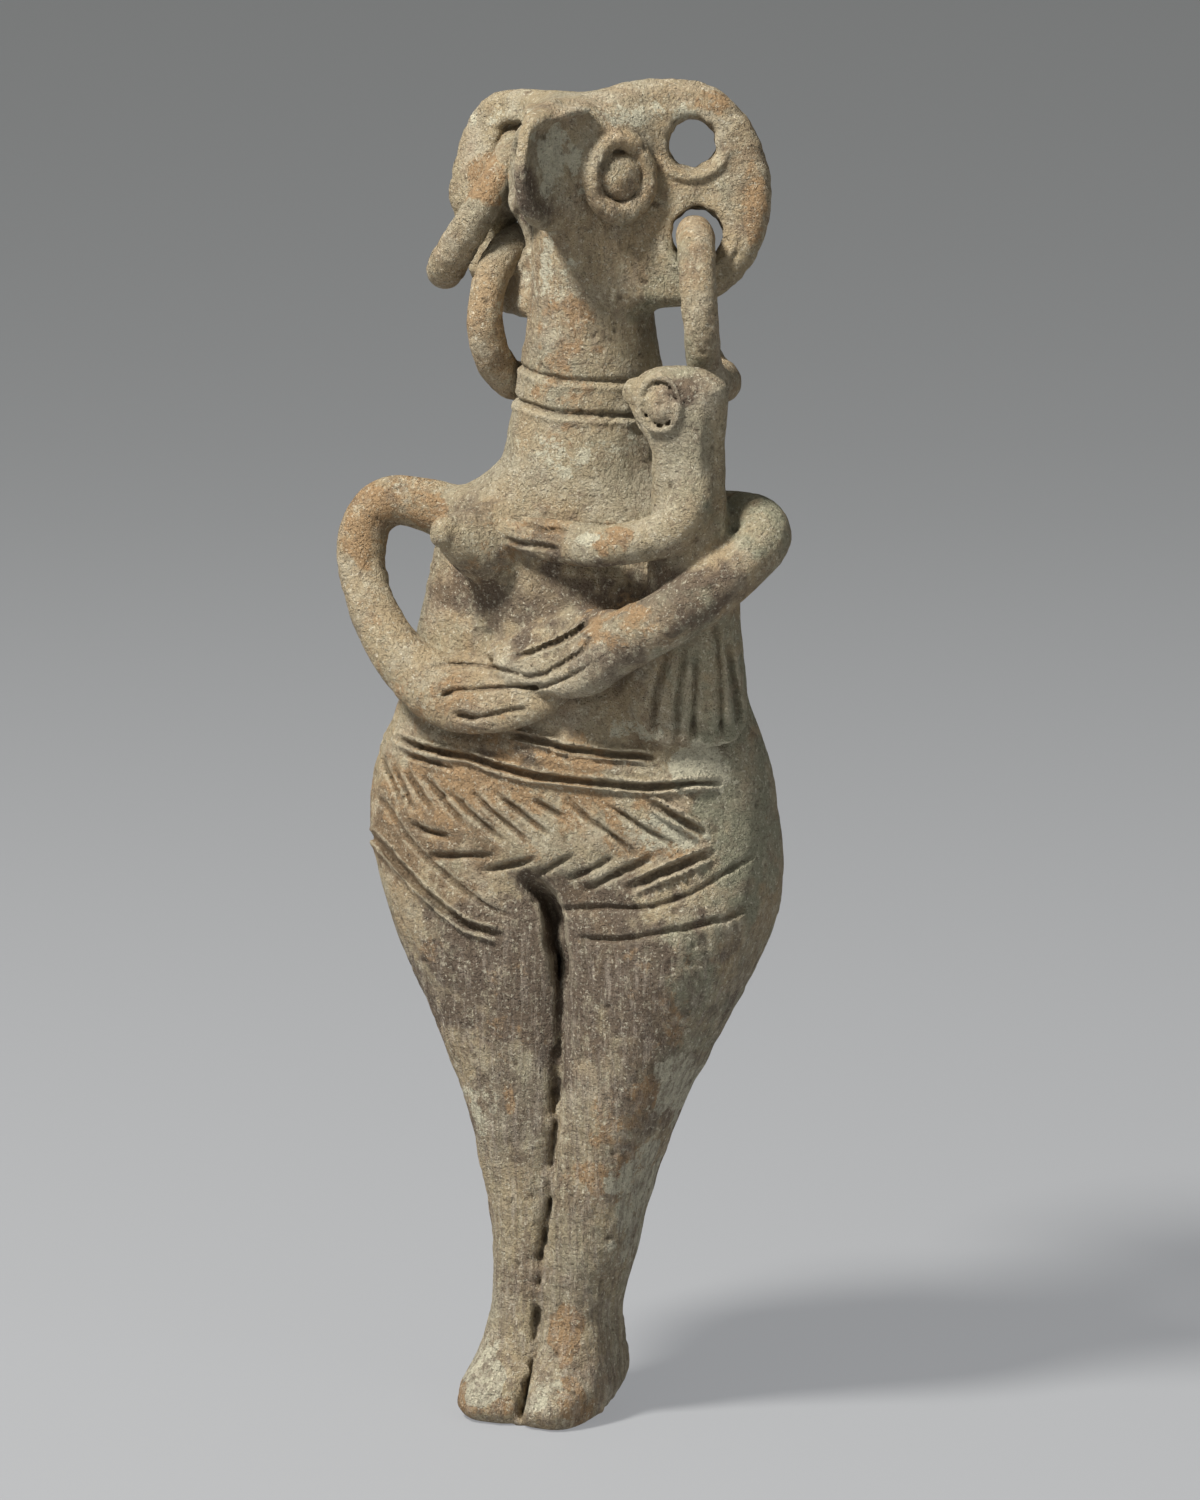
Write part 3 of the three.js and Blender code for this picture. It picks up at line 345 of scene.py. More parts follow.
# Patches of colour on the layout plane: distance across and up, half width, half height, strength.
# Their order sets the noise that makes them ragged.
PATCH_SEED = 70
PATCHES = {
    "lime_and_crown_highlight": [
        (14.2, -2.8, 6, 4.5, 0.8), (10.5, -12.3, 6, 3, 0.6), (12.3, -51.5, 3.5, 6, 0.8), (6, -66, 5, 6, 0.7),
        (4, -70, 2, 6, 0.6), (-17.8, -96.6, 3.2, 4.8, 0.9), (-8.3, -99.4, 3.8, 2.8, 0.6),
        (-6.5, 90.3, 3.4, 6, 0.7), (-7.5, 73, 4, 7, 0.45), (-18, -53.8, 3, 5, 0.5),
        # The lime patches at 98 up lie on the crown: painted highlight where the light falls on the top of
        # the head.
        (-2.2, 32.2, 2.2, 1.8, 0.7), (5.5, -77, 4, 7, 0.6), (-27, 42, 6, 2.5, 0.4), (7, 98, 10, 2, 0.5),
        (-16, 98, 6, 2, 0.4), (6, 3, 6, 2, 0.5), (-5, 47, 12, 5, 0.35), (-14, 67, 3, 6, 0.3),
    ],
    "orange": [
        (-36.6, 36, 4, 8, 0.8), (-28.8, 40.3, 5, 2.5, 0.5), (-28, 37, 5, 3, 0.5), (-27, 9.2, 7, 6, 0.5),
        (-15.4, -6.2, 20, 8, 0.6), (-18, 88, 3.4, 5, 0.7), (23.8, 84, 2, 7, 0.6), (17.7, 99.7, 2.5, 2, 0.6),
        (-5.4, 63, 5, 14, 0.5), (-9, 33, 4, 5, 0.3), (-5.4, -89.5, 2.5, 4.5, 1),
        (-3.8, -100, 2.8, 4.2, 0.9), (-21, -100, 2.6, 4.2, 1), (-15, -101, 2.5, 2, 0.6),
        (7, -53, 2.4, 3, 0.7), (-0.5, -65.5, 5, 3, 0.7), (2.3, 32.3, 3, 2.4, 0.6), (5, 19.8, 3, 3, 0.5),
        (-25.4, -30, 3, 4, 0.3), (-13.9, -53, 1, 2.8, 0.9), (8, -14, 8, 4, 0.4), (-36, 20, 3, 8, 0.3),
        (1, 19, 5, 4, 0.6), (3, -60, 6, 9, 0.5), (-12, 30, 8, 6, 0.35), (9, -36, 6, 8, 0.35),
        (-14, -40, 6, 8, 0.3),
    ],
    "mauve": [
        (-6, -34, 22, 14, 1), (-10, -2, 12, 2.5, 0.5), (13, 56, 2.6, 2.8, 0.9),
        (-10.2, 82.6, 2.8, 2.4, 0.8), (-11.6, 85.5, 2.2, 5, 0.7), (0, 12.6, 7, 4, 0.5),
        (-10.5, -70, 7, 14, 0.2), (8, -48, 7, 12, 0.6), (12, 23, 10, 6, 0.6), (-10, 24, 12, 8, 0.75),
        (-15, -55, 6, 8, 0.6), (-20, 36, 4, 3, 0.5),
    ],
    "brown": [(-25, -11, 12, 9, 1), (22.5, 88, 4, 10, 0.5)],
    "green": [
        (21.5, -7.7, 6, 22, 0.8), (11, 70, 5, 10, 0.5), (23, 35, 7, 5, 0.7), (17, 12, 7, 10, 0.5),
        (9, 84, 5, 8, 0.3), (14.5, -40, 5, 16, 0.5), (5.5, -82, 3, 10, 0.4), (3, 90, 3, 4, 0.3),
    ],
}

# Colours of each clay: its ground, a warmer and a paler shade.
CLAYS = {
    "clay": ((0.43, 0.35, 0.225), (0.45, 0.325, 0.19), (0.52, 0.465, 0.35)),
    "ring_clay": ((0.42, 0.33, 0.21), (0.45, 0.305, 0.17), (0.52, 0.46, 0.34)),
}
# Layers of colour. Each noise is its scale, detail, roughness and, where it isn't even, its stretch.
# The numbers after it are where the layer starts, where it is full, and its strength. Patches bring
# their own strength.
WARM_CLOUD = ((45, 3, 0.6), 0.42, 0.66, 0.8)
PALE_CLOUD = ((130, 5, 0.7), 0.5, 0.68, 0.8)
CLOUDS = [
    ((0.5, 0.39, 0.29), (60, 4, 0.65), 0.52, 0.68, 0.6),
    ((0.34, 0.32, 0.24), (80, 3, 0.6, (1, 1, 0.5)), 0.46, 0.66, 0.6),
]
PATCH_LAYERS = {
    "mauve": ((0.165, 0.125, 0.091), (90, 5, 0.7), 0.15, 0.75),
    "brown": ((0.27, 0.19, 0.115), (90, 5, 0.7), 0.15, 0.75),
    "green": ((0.33, 0.315, 0.22), (110, 5, 0.7), 0.2, 0.8),
    "orange": ((0.4, 0.265, 0.145), (200, 6, 0.75), 0.35, 0.62),
    # Lime clay colour, and on the crown painted highlight.
    "lime_and_crown_highlight": ((0.6, 0.56, 0.42), (240, 6, 0.8), 0.42, 0.6),
}
PATCH_BREAK = 2.4
BRUSH_STROKES = [
    ((0.19, 0.145, 0.11), (900, 3, 0.7, (1, 1, 0.09)), 0.46, 0.62, 0.6),
    ((0.62, 0.54, 0.44), (1000, 4, 0.75, (1, 1, 0.12)), 0.5, 0.66, 0.42),
]
SPECKLES = [
    ((0.2, 0.15, 0.105), (330, 4, 0.7), 0.54, 0.7, 0.6),
    ((0.64, 0.58, 0.42), (420, 5, 0.8, (1, 1, 0.6)), 0.55, 0.7, 0.65),
    ((0.13, 0.095, 0.065), (1100, 4, 0.75), 0.55, 0.69, 0.65),
    ((0.78, 0.72, 0.56), (1500, 3, 0.7), 0.57, 0.7, 0.7),
]
# Colour by the form: darker in pits and hollows, painted shade that is partly dirt, and lighter on bent-out
# edges, wear that is partly painted highlight.
PAINTED_FORM_SHADE_AND_WEAR = [
    ((0.1, 0.075, 0.05), "pit", 0.2, 0.7, 0.7),
    ((0.13, 0.095, 0.06), "bend", -0.06, -0.6, 0.6),
    ((0.64, 0.56, 0.41), "bend", 0.12, 0.6, 0.5),
]
# Fine bumps: noise, depth in metres, and whether they are on the brush strokes alone.
BUMPS = [
    ((300, 5, 0.7), 0.0006, False),
    ((800, 4, 0.7), 0.001, False),
    ((1000, 3, 0.7, (1, 1, 0.09)), 0.0006, True),
    ((2000, 3, 0.7), 0.0007, False),
]

# Lights: place to the right of her chest, up and towards the camera, size, power, colour.
CHEST = (0.0, 0.0, 0.11)
LIGHTS = {
    "key": ((-0.62, 0.97, 0.66), 0.26, 28, (1, 0.98, 0.93)),
    "front": ((-0.9, 0.35, 1.3), 1.2, 3, (1, 0.99, 0.95)),
    "fill": ((0.9, 0.5, 1.2), 1, 2, (0.95, 0.99, 1)),
}


def add_object(name, data):
    made = bpy.data.objects.new(name, data)
    bpy.context.scene.collection.objects.link(made)
    return made


def make_camera():
    data = bpy.data.cameras.new("camera")
    data.sensor_fit = "VERTICAL"
    data.angle_y = 2 * atan(VIEW_HEIGHT / 2 / VIEW_DISTANCE)
    data.clip_end = 20
    camera = add_object("camera", data)
    _, _, forward = view_axes()
    aim = Vector([(a + s) * MM for a, s in zip(VIEW_AIM, ORIGIN_SHIFT)])
    camera.location = aim - Vector(forward) * VIEW_DISTANCE * MM
    camera.rotation_euler = Vector(forward).to_track_quat("-Z", "Y").to_euler()
    bpy.context.scene.camera = camera


def view_axes():
    """Right, up and forward of the layout plane."""
    ca, sa = cos(VIEW_AZIMUTH), sin(VIEW_AZIMUTH)
    ce, se = cos(VIEW_ELEVATION), sin(VIEW_ELEVATION)
    return (ca, sa, 0.0), (-sa * se, ca * se, ce), (-sa * ce, ca * ce, -se)


def layout(points):
    """Places of points on the layout plane, as seen from the viewpoint."""
    right, up, forward = (np.array(axis) for axis in view_axes())
    offset = points - (np.array(VIEW_AIM) - forward * VIEW_DISTANCE)
    scale = VIEW_DISTANCE / (offset @ forward)
    return np.stack([offset @ right * scale, offset @ up * scale], 1)


def dense(stations, step=0.25):
    """Stations filled in smoothly between their first and last key."""
    table = np.array(stations, float)
    table = table[table[:, 0].argsort()]
    keys = table[:, 0]
    rise = np.vstack([table[1:], table[-1:]]) - np.vstack([table[:1], table[:-1]])
    slopes = rise / rise[:, :1]
    at = np.arange(keys[0], keys[-1] + step / 2, step)
    i = np.clip(np.searchsorted(keys, at, side="right") - 1, 0, len(keys) - 2)
    span = (keys[i + 1] - keys[i])[:, None]
    t = ((at - keys[i]) / (keys[i + 1] - keys[i]))[:, None]
    a, b = 2 * t**3 - 3 * t**2 + 1, t**3 - 2 * t**2 + t
    c, d = 3 * t**2 - 2 * t**3, t**3 - t**2
    out = a * table[i] + b * slopes[i] * span + c * table[i + 1] + d * slopes[i + 1] * span
    out[:, 0] = at
    return out


def read(table, at):
    return [np.interp(at, table[:, 0], table[:, k]) for k in range(1, table.shape[1])]


def smooth_min(a, b, k):
    h = np.clip(0.5 + 0.5 * (b - a) / k, 0, 1)
    return b + (a - b) * h - k * h * (1 - h)


def smooth_max(a, b, k):
    return -smooth_min(-a, -b, k)


def oval_distance(u, v, half_u, half_v, power=2.0):
    """Distance in a plane to a level oval outline, squarer as the power rises."""
    pu, pv = np.abs(u) / half_u, np.abs(v) / half_v
    rho = (pu**power + pv**power) ** (1 / power) + 1e-6
    slope_u = (pu / rho) ** (power - 1) / half_u
    slope_v = (pv / rho) ** (power - 1) / half_v
    return (rho - 1) / np.maximum(np.hypot(slope_u, slope_v), LEAST_SLOPE)


def within(points, low, high, field):
    """Evaluates a field only near a box, and gives FAR elsewhere."""
    out = np.full(len(points), FAR)
    near = np.all((points > np.array(low) - FIELD_MARGIN) & (points < np.array(high) + FIELD_MARGIN), axis=1)
    if near.any():
        out[near] = field(points[near])
    return out


def torso_field(points, table):
    x, y, z = points.T
    cx, cy, wide, front, back, power = read(table, z)
    side = oval_distance(x - cx, y - cy, wide, np.where(y < cy, front, back), power)
    slope = np.interp(z, table[:, 0], np.gradient(table[:, 3], table[:, 0]))
    share = np.clip(np.abs(x - cx) / wide, 0, 1)
    side = side / np.sqrt(1 + (slope * share) ** 2)
    return smooth_max(side, z - table[-1, 0] - TOP_LIFT, TOP_ROUND)


def leg_field(points, side):
    x, y, z = points.T
    cx, cy, wide, front, back, heel, split = read(dense(LEGS), z)
    behind = np.clip((y - cy) / back, 0, 1)
    across = cx + (x - cx) / (1 - heel * behind)
    outer = cx + side * wide
    inner = split - side * LEG_OVERLAP
    middle = (outer + inner) / 2
    power = np.where((across - middle) * side < 0, LEG_INNER_SQUARE, LEG_SQUARE)
    half = np.abs(outer - inner) / 2
    d = oval_distance(across - middle, y - cy, half, np.where(y < cy, front, back), power)
    sole = SOLE_RISE * smooth_max(y - SOLE_START, np.zeros(len(y)), SOLE_BEND)
    return smooth_max(d, sole - z, SOLE_EDGE)


def unit(vectors):
    return vectors / np.linalg.norm(vectors, axis=1)[:, None]


def curve_samples(path, count=90):
    """Catmull-Rom samples of a roll: number, centre, tangent, half width and half depth."""
    p = np.array(path, float)
    q = np.vstack([2 * p[0] - p[1], p, 2 * p[-1] - p[-2]])
    t = np.linspace(0, len(p) - 1 - 1e-6, count)
    i = t.astype(int)
    f = (t - i)[:, None]
    a, b, c, d = q[i], q[i + 1], q[i + 2], q[i + 3]
    at = 0.5 * (2 * b + (c - a) * f + (2 * a - 5 * b + 4 * c - d) * f**2 + (3 * b - a - 3 * c + d) * f**3)
    tangent = np.gradient(at[:, :3], axis=0)
    return np.column_stack([np.arange(count), at[:, :3], unit(tangent), at[:, 3:]])


def roll_field(points, path, facing):
    samples = curve_samples(path)
    centre, tangent = samples[:, 1:4], samples[:, 4:7]
    reach = samples[:, 7:].max()

    def field(p):
        i = ((p[:, None, :] - centre[None]) ** 2).sum(2).argmin(1)
        along = ((p - centre[i]) * tangent[i]).sum(1)
        step = np.linalg.norm(centre[1] - centre[0])
        *rows, wide, deep = read(samples, np.clip(i + along / step, 0, len(centre) - 1))
        offset = p - np.stack(rows[:3], 1)
        forward = unit(np.stack(rows[3:], 1))
        across = unit(np.cross(facing, forward))
        axes = (across, np.cross(forward, across), forward)
        halves = (wide, deep, np.minimum(wide, deep))
        pairs = [((offset * axis).sum(1), half) for axis, half in zip(axes, halves)]
        rho = np.sqrt(sum((gap / half) ** 2 for gap, half in pairs)) + 1e-6
        slope = np.sqrt(sum((gap / half**2) ** 2 for gap, half in pairs)) / rho
        return (rho - 1) / np.maximum(slope, LEAST_SLOPE)

    return within(points, centre.min(0) - reach, centre.max(0) + reach, field)


def ear_places(points, ear):
    """Distances of points along an ear's plate, up it and out of its face."""
    out = np.array([ear.side * cos(EAR_SWEEP), sin(EAR_SWEEP), 0])
    face = np.array([ear.side * sin(EAR_SWEEP) * cos(EAR_LEAN),
                     -cos(EAR_SWEEP) * cos(EAR_LEAN), sin(EAR_LEAN)])
    offset = points - np.array(ear.centre)
    return offset @ out, offset @ (-ear.side * np.cross(out, face)), offset @ face


def lobe_recess(side, upward):
    """Half of how far the front of her right ear's lobe is set back."""
    return LOBE_RECESS * np.clip((LOBE_TOP - upward) / LOBE_FADE, 0, 1) if side < 0 else 0


def ear_field(points, ear):
    def field(p):
        along, upward, forward = ear_places(p, ear)
        dip = np.where((along < 0) & (upward > 0), CROWN_DIP * np.clip(along / EAR_INNER, -1, 1) ** 2, 0)
        corner = np.where(upward > 0, ear.square[0], ear.square[1])
        power = np.where(along < 0, EAR_INNER_POWER, corner)
        reach = np.where(along < 0, EAR_INNER, ear.outer)
        rim = oval_distance(along, upward + dip, reach, EAR_HIGH, power) + EAR_ROUND
        recess = lobe_recess(ear.side, upward)
        slab = np.abs(forward + recess) - EAR_THICK / 2 + recess + EAR_ROUND
        edge = np.hypot(np.maximum(rim, 0), np.maximum(slab, 0)) + np.minimum(np.maximum(rim, slab), 0)
        return edge - EAR_ROUND

    centre = np.array(ear.centre)
    return within(points, centre - EAR_SPAN, centre + EAR_SPAN, field)


def beak_field(points):
    table = dense(BEAK)
    x, y, z = points.T
    top, bottom, half = read(table, y)
    d = oval_distance(x - BEAK_X, z - (top + bottom) / 2, half, (top - bottom) / 2, BEAK_SQUARE)
    slope = np.interp(y, table[:, 0], np.gradient(table[:, 1] - table[:, 2], table[:, 0])) / 2
    d = d / np.sqrt(1 + np.minimum(slope, 3) ** 2)
    return smooth_max(smooth_max(d, table[0, 0] - y, 1.5), y - table[-1, 0], 2.0)


def eye_fields(points, eye):
    """An eye's rim, its button and the groove between them."""
    a, t = radians(eye.azimuth), radians(eye.tilt)
    out = np.array([sin(a) * cos(t), -cos(a) * cos(t), sin(t)])
    side = np.array([cos(a), sin(a), 0])
    offset = points - np.array(eye.place)
    u, v, w = offset @ side, offset @ np.cross(out, side) / eye.tall, offset @ out
    ragged = noise_sum(points, ((0.14, 1.7, 80), (0.12, 0.8, 81)))
    ring = np.hypot(np.hypot(u, v) - (eye.radius - eye.roll), w - 0.1) - eye.roll + ragged
    high = eye.rise + BUTTON_SUNK
    across = (u / eye.button / BUTTON_WIDE) ** 2 + (v / eye.button) ** 2
    pellet = (np.sqrt(across + ((w + BUTTON_SUNK) / high) ** 2) - 1) * min(eye.button, high)
    middle = (eye.radius - 2 * eye.roll + eye.button) / 2
    groove = np.hypot(np.hypot(u, v) - middle, w + 0.4) - 0.6 - 2 * ragged
    return ring, pellet + 0.5 * ragged, groove


def line_gap(places, line, reach):
    """Distance from places on the layout plane to a line of points, up to a reach, and share along it."""
    pts = np.array(line)
    best = np.full(len(places), reach)
    share = np.zeros(len(places))
    lengths = np.linalg.norm(np.diff(pts, axis=0), axis=1)
    total, passed = lengths.sum(), 0.0
    for a, b, length in zip(pts[:-1], pts[1:], lengths):
        low, high = np.minimum(a, b) - reach, np.maximum(a, b) + reach
        near = np.where(np.all((places > low) & (places < high), axis=1))[0]
        if len(near):
            offset = places[near] - a
            t = np.clip(offset @ (b - a) / length**2, 0, 1)
            gap = np.linalg.norm(offset - t[:, None] * (b - a), axis=1)
            closer = gap < best[near]
            best[near[closer]] = gap[closer]
            share[near[closer]] = (passed + t[closer] * length) / total
        passed += length
    return best, share


def grooves(places, half, deep, burr, ends, lines):
    """Depth of pressed lines with a soft raised rim, thinning at both ends."""
    total = np.zeros(len(places))
    for line in lines:
        gap, share = line_gap(places, line, half * 3.2)
        fade = np.clip(np.minimum(share, 1 - share) / ends, 0, 1) ** 0.6 * 0.75 + 0.25
        cut = deep * np.exp(-(gap / half) ** 2 * 1.3)
        rim = burr * deep * np.exp(-((gap - half * 1.55) / (half * 0.5)) ** 2)
        total = np.maximum(total, cut * fade) - rim * fade * (total < deep * 0.2)
    return total


def pressed(places, *groups):
    return sum(grooves(places, *group) for group in groups)


def skirt_field(points, torso):
    x, y, z = points.T
    cx, cy = read(dense(TORSO), z)[:2]
    azimuth = np.degrees(np.arctan2(x - cx, -(y - cy) * 2.2))
    first, last, lift = read(dense(SKIRT), z)
    edge = np.minimum(azimuth - first, last - azimuth) * 0.5
    edge = np.minimum(edge, z - SKIRT[0][0])
    edge = np.minimum(edge, SKIRT_TOP - z)
    return smooth_max(torso - lift, -edge, BLEND["skirt edge"])


def near_box(points, centre, reach):
    return np.all(np.abs(points - np.array(centre)) < reach, axis=1)


def add_eye(d, points, eye):
    """Presses an eye's groove, rim and button into a field."""
    near = near_box(points, eye.place, EYE_SPAN)
    ring, pellet, groove = eye_fields(points[near], eye)
    part = smooth_max(d[near], -groove, BLEND["eye groove"])
    part = smooth_min(part, ring, BLEND["eye rim"])
    d[near] = smooth_min(part, pellet, BLEND["eye button"])
    return d


def pierce_ear(d, points, ear):
    """Cuts an ear's holes, each with a worn edge and a lip of clay pushed out below it."""
    near = near_box(points, ear.centre, HOLE_SPAN)
    along, upward, forward = ear_places(points[near], ear)
    front = EAR_THICK / 2 - 2 * lobe_recess(ear.side, upward)
    chips = noise_sum(points[near], ((0.3, 1.6, 82), (0.15, 0.8, 83)))
    part = d[near]
    for at_along, at_up, radius in ear.holes:
        v = upward - at_up
        gap = np.hypot(along - at_along, v)
        low = np.clip(-v / (gap + 0.1), 0, 1)
        lip = np.hypot(gap - radius - LIP_OFFSET, forward - front + 0.05) - LIP_ROLL * low**0.5
        part = np.where(low > 0.03, smooth_min(part, lip, BLEND["lip"]), part)
        hole = radius + 0.26 * np.maximum(forward, 0) * low + chips - gap
        part = np.where(np.abs(forward) < 8, smooth_max(part, hole, BLEND["hole"]), part)
    d[near] = part
    return d


def head_field(points, d):
    above = points[:, 2] - CROWN_START
    for ear in EARS:
        d = smooth_min(d, ear_field(points, ear), ear.merge + 3 * np.clip(above / 10, 0, 1))
    beak = within(points, *BEAK_BOX, beak_field)
    d = smooth_min(d, beak, BLEND["beak"] + 2.2 * np.clip(above / 8, 0, 1))
    d = smooth_min(d, roll_field(points, BEAK_RIM, (1, 0, 0)), BLEND["beak"])
    for brow in BROWS:
        d = smooth_min(d, roll_field(points, brow, (0, 0, 1)), BLEND["brow"])
    for ear in EARS:
        d = pierce_ear(d, points, ear)
    for eye in EYES:
        d = add_eye(d, points, eye)
    return d


def infant_field(points, places, wander, torso):
    """The infant's body, head and skirt, with the folds of the skirt."""
    body = within(points, *INFANT_BOX, lambda p: torso_field(p, dense(INFANT)))
    body = smooth_max(body, INFANT[0][0] - points[:, 2], BLEND["infant foot"])
    body = smooth_min(body, roll_field(points, INFANT_BEAK, (0, -1, 0)), BLEND["infant beak"])
    body = add_eye(body + pressed(places, INFANT_BACK), points, INFANT_EYE)
    skirt = skirt_field(points, torso)
    return smooth_min(body, skirt, BLEND["skirt"]) + pressed(wander, SKIRT_LINES)


def neck_lines(points):
    """Depth of the lines round the neck, each with a burr below it."""
    total = np.zeros(len(points))
    for height, depth in NECK_LINES:
        gap = points[:, 2] - height + NECK_LINE_SLOPE * points[:, 0] + 0.3 * noise(points, 7, 60)
        burr = 0.4 * depth * np.exp(-((gap + 1.0) / 0.45) ** 2)
        total += depth * np.exp(-(gap / NECK_LINE_HALF) ** 2) - burr
    return total


def legs_field(points, wander):
    """Both legs as one form, and the depth of the cleft between them, which clay and crumbs partly fill."""
    filled = np.clip((FILL_TOP - points[:, 2]) / FILL_FADE, 0, 1)
    crumbs = noise_sum(points, ((1, 2.6, 61), (0.6, 1.3, 62)))
    left, right = (leg_field(points, side) for side in (1, -1))
    legs = smooth_min(left, right, LEG_MERGE + filled * np.clip(1.8 + 1.4 * crumbs, 0.5, 3.2))
    depth = np.clip(1 - 0.75 * filled - 0.4 * crumbs * filled, 0.05, 1)
    return legs, pressed(wander, CLEFT) * depth + pressed(wander, CLEFT_TOP)


def trunk_field(points, wander, front, torso):
    """Legs, torso and neck as one form, with the lines pressed into them."""
    legs, cleft = legs_field(points, wander)
    low, high = HIP_BLEND
    share = np.clip((points[:, 2] - low) / (high - low), 0, 1)
    share = share * share * (3 - 2 * share)
    girdle = pressed(wander, GIRDLE_LOW, GIRDLE_TOP, GIRDLE_THIN, UPPER_STROKES, LOWER_STROKES)
    girdle -= pressed(wander, GIRDLE_CORD)
    lines = girdle * (share > 0.01) + pressed(wander, THIGH_LINES) + cleft
    return legs * (1 - share) + torso * share + lines * front + neck_lines(points)


def arms_field(points, wander, front):
    """Both arms with their hands, and the slits between the fingers."""
    right, left = (roll_field(points, arm, ARM_FACING) for arm in (RIGHT_ARM, LEFT_ARM))
    arms = smooth_min(right, left, BLEND["arms"])
    arms = smooth_min(arms, roll_field(points, UPPER_FINGER, ARM_FACING), BLEND["finger"])
    return arms + pressed(wander, HANDS, HAND_PITS) * front


def figurine_field(points):
    places = layout(points)
    wander = shaken(places, points, 0.2, 4.0, (63, 64))
    front = points[:, 1] < FRONT_SIDE
    torso = torso_field(points, dense(TORSO))
    d = head_field(points, trunk_field(points, wander, front, torso))
    d = smooth_min(d, roll_field(points, BREAST, (0, 0, 1)), BLEND["breast"])
    d = smooth_min(d, infant_field(points, places, wander, torso), BLEND["infant"])
    arm = roll_field(points, INFANT_ARM, (0, -1, 0.1)) + pressed(places, INFANT_HAND)
    d = smooth_min(d, arm, BLEND["infant arm"])
    return smooth_min(d, arms_field(points, wander, front), BLEND["arms"])


def ring_frame(azimuth, tilt):
    """Axes of a ring as columns: across it, up it, and out of its plane."""
    a, t = radians(azimuth - 90), radians(tilt + 90)
    about_z = np.array([[cos(a), -sin(a), 0], [sin(a), cos(a), 0], [0, 0, 1]])
    about_x = np.array([[1, 0, 0], [0, cos(t), -sin(t)], [0, sin(t), cos(t)]])
    return about_z @ about_x


def ring_field(points, ring):
    """A roll of clay closed to a ring, with the lump where its ends were pressed together."""
    x, y, z = ((points - np.array(ring.centre)) @ ring_frame(ring.azimuth, ring.tilt)).T
    turn = np.arctan2(y, x)
    gap = np.abs((turn - ring.joint + pi) % (2 * pi) - pi)
    size = ring.roll * (1 + 0.04 * np.sin(2 * turn + ring.joint) + 0.1 * np.exp(-(gap / 0.2) ** 2))
    if ring.node != KNOB_RING:
        return np.hypot(np.hypot(x, y) - ring.radius, z) - size
    z = z + KNOB_BEND * np.clip((-np.sin(turn) - 0.7) / 0.3, 0, 1) ** 1.5
    lump = np.linalg.norm((points - np.array(KNOB_PLACE)) * (1, 1, 0.8), axis=1) - KNOB_RADIUS
    return smooth_min(np.hypot(np.hypot(x, y) - ring.radius, z) - size, lump, BLEND["knob"])


def hashed(ix, iy, iz, seed):
    n = (ix * 73856093) ^ (iy * 19349663) ^ (iz * 83492791) ^ (seed * 2654435761)
    n = (n ^ (n >> 13)) * 1274126177
    n = n ^ (n >> 16)
    return (n & 0xFFFF) / 32767.5 - 1


def noise(points, size, seed, stretch=(1, 1, 1)):
    """Smooth value noise from -1 to 1."""
    p = points / (np.array(stretch) * size) + 500
    cell = np.floor(p).astype(np.int64)
    f = p - cell
    f = f * f * (3 - 2 * f)
    total = np.zeros(len(points))
    ends = (1 - f, f)
    for i, j, k in np.ndindex(2, 2, 2):
        weight = ends[i][:, 0] * ends[j][:, 1] * ends[k][:, 2]
        total += weight * hashed(*(cell + (i, j, k)).T, seed)
    return total


def noise_sum(points, layers):
    """Sum of noises, each given by its height, size and seed."""
    return sum(height * noise(points, size, seed) for height, size, seed in layers)


def shaken(places, points, height, size, seeds):
    """Places moved by noise, along each of their axes with a seed of its own."""
    return places + height * np.stack([noise(points, size, seed) for seed in seeds], 1)


def sample_band(field, box, cell):
    """Field on a fine grid near the skin, and coarse values elsewhere."""
    low = np.array(box[0])
    size = cell * BLOCK
    blocks = np.ceil((np.array(box[1]) - low) / size).astype(int)
    index = np.argwhere(np.ones(blocks))
    centres = low + (index + 0.5) * size - cell / 2
    coarse = np.concatenate([field(part) for part in np.array_split(centres, COARSE_BATCHES)])
    shaped = coarse.reshape(blocks).astype(np.float32)
    grid = np.repeat(np.repeat(np.repeat(shaped, BLOCK, 0), BLOCK, 1), BLOCK, 2)
    near = index[np.abs(coarse) < size * NEAR_SKIN]
    inner = np.argwhere(np.ones((BLOCK,) * 3))
    for part in np.array_split(near, max(1, len(near) // BATCH_BLOCKS)):
        cells = (part[:, None, :] * BLOCK + inner[None]).reshape(-1, 3)
        grid[tuple(cells.T)] = field(low + cells * cell)
    return grid


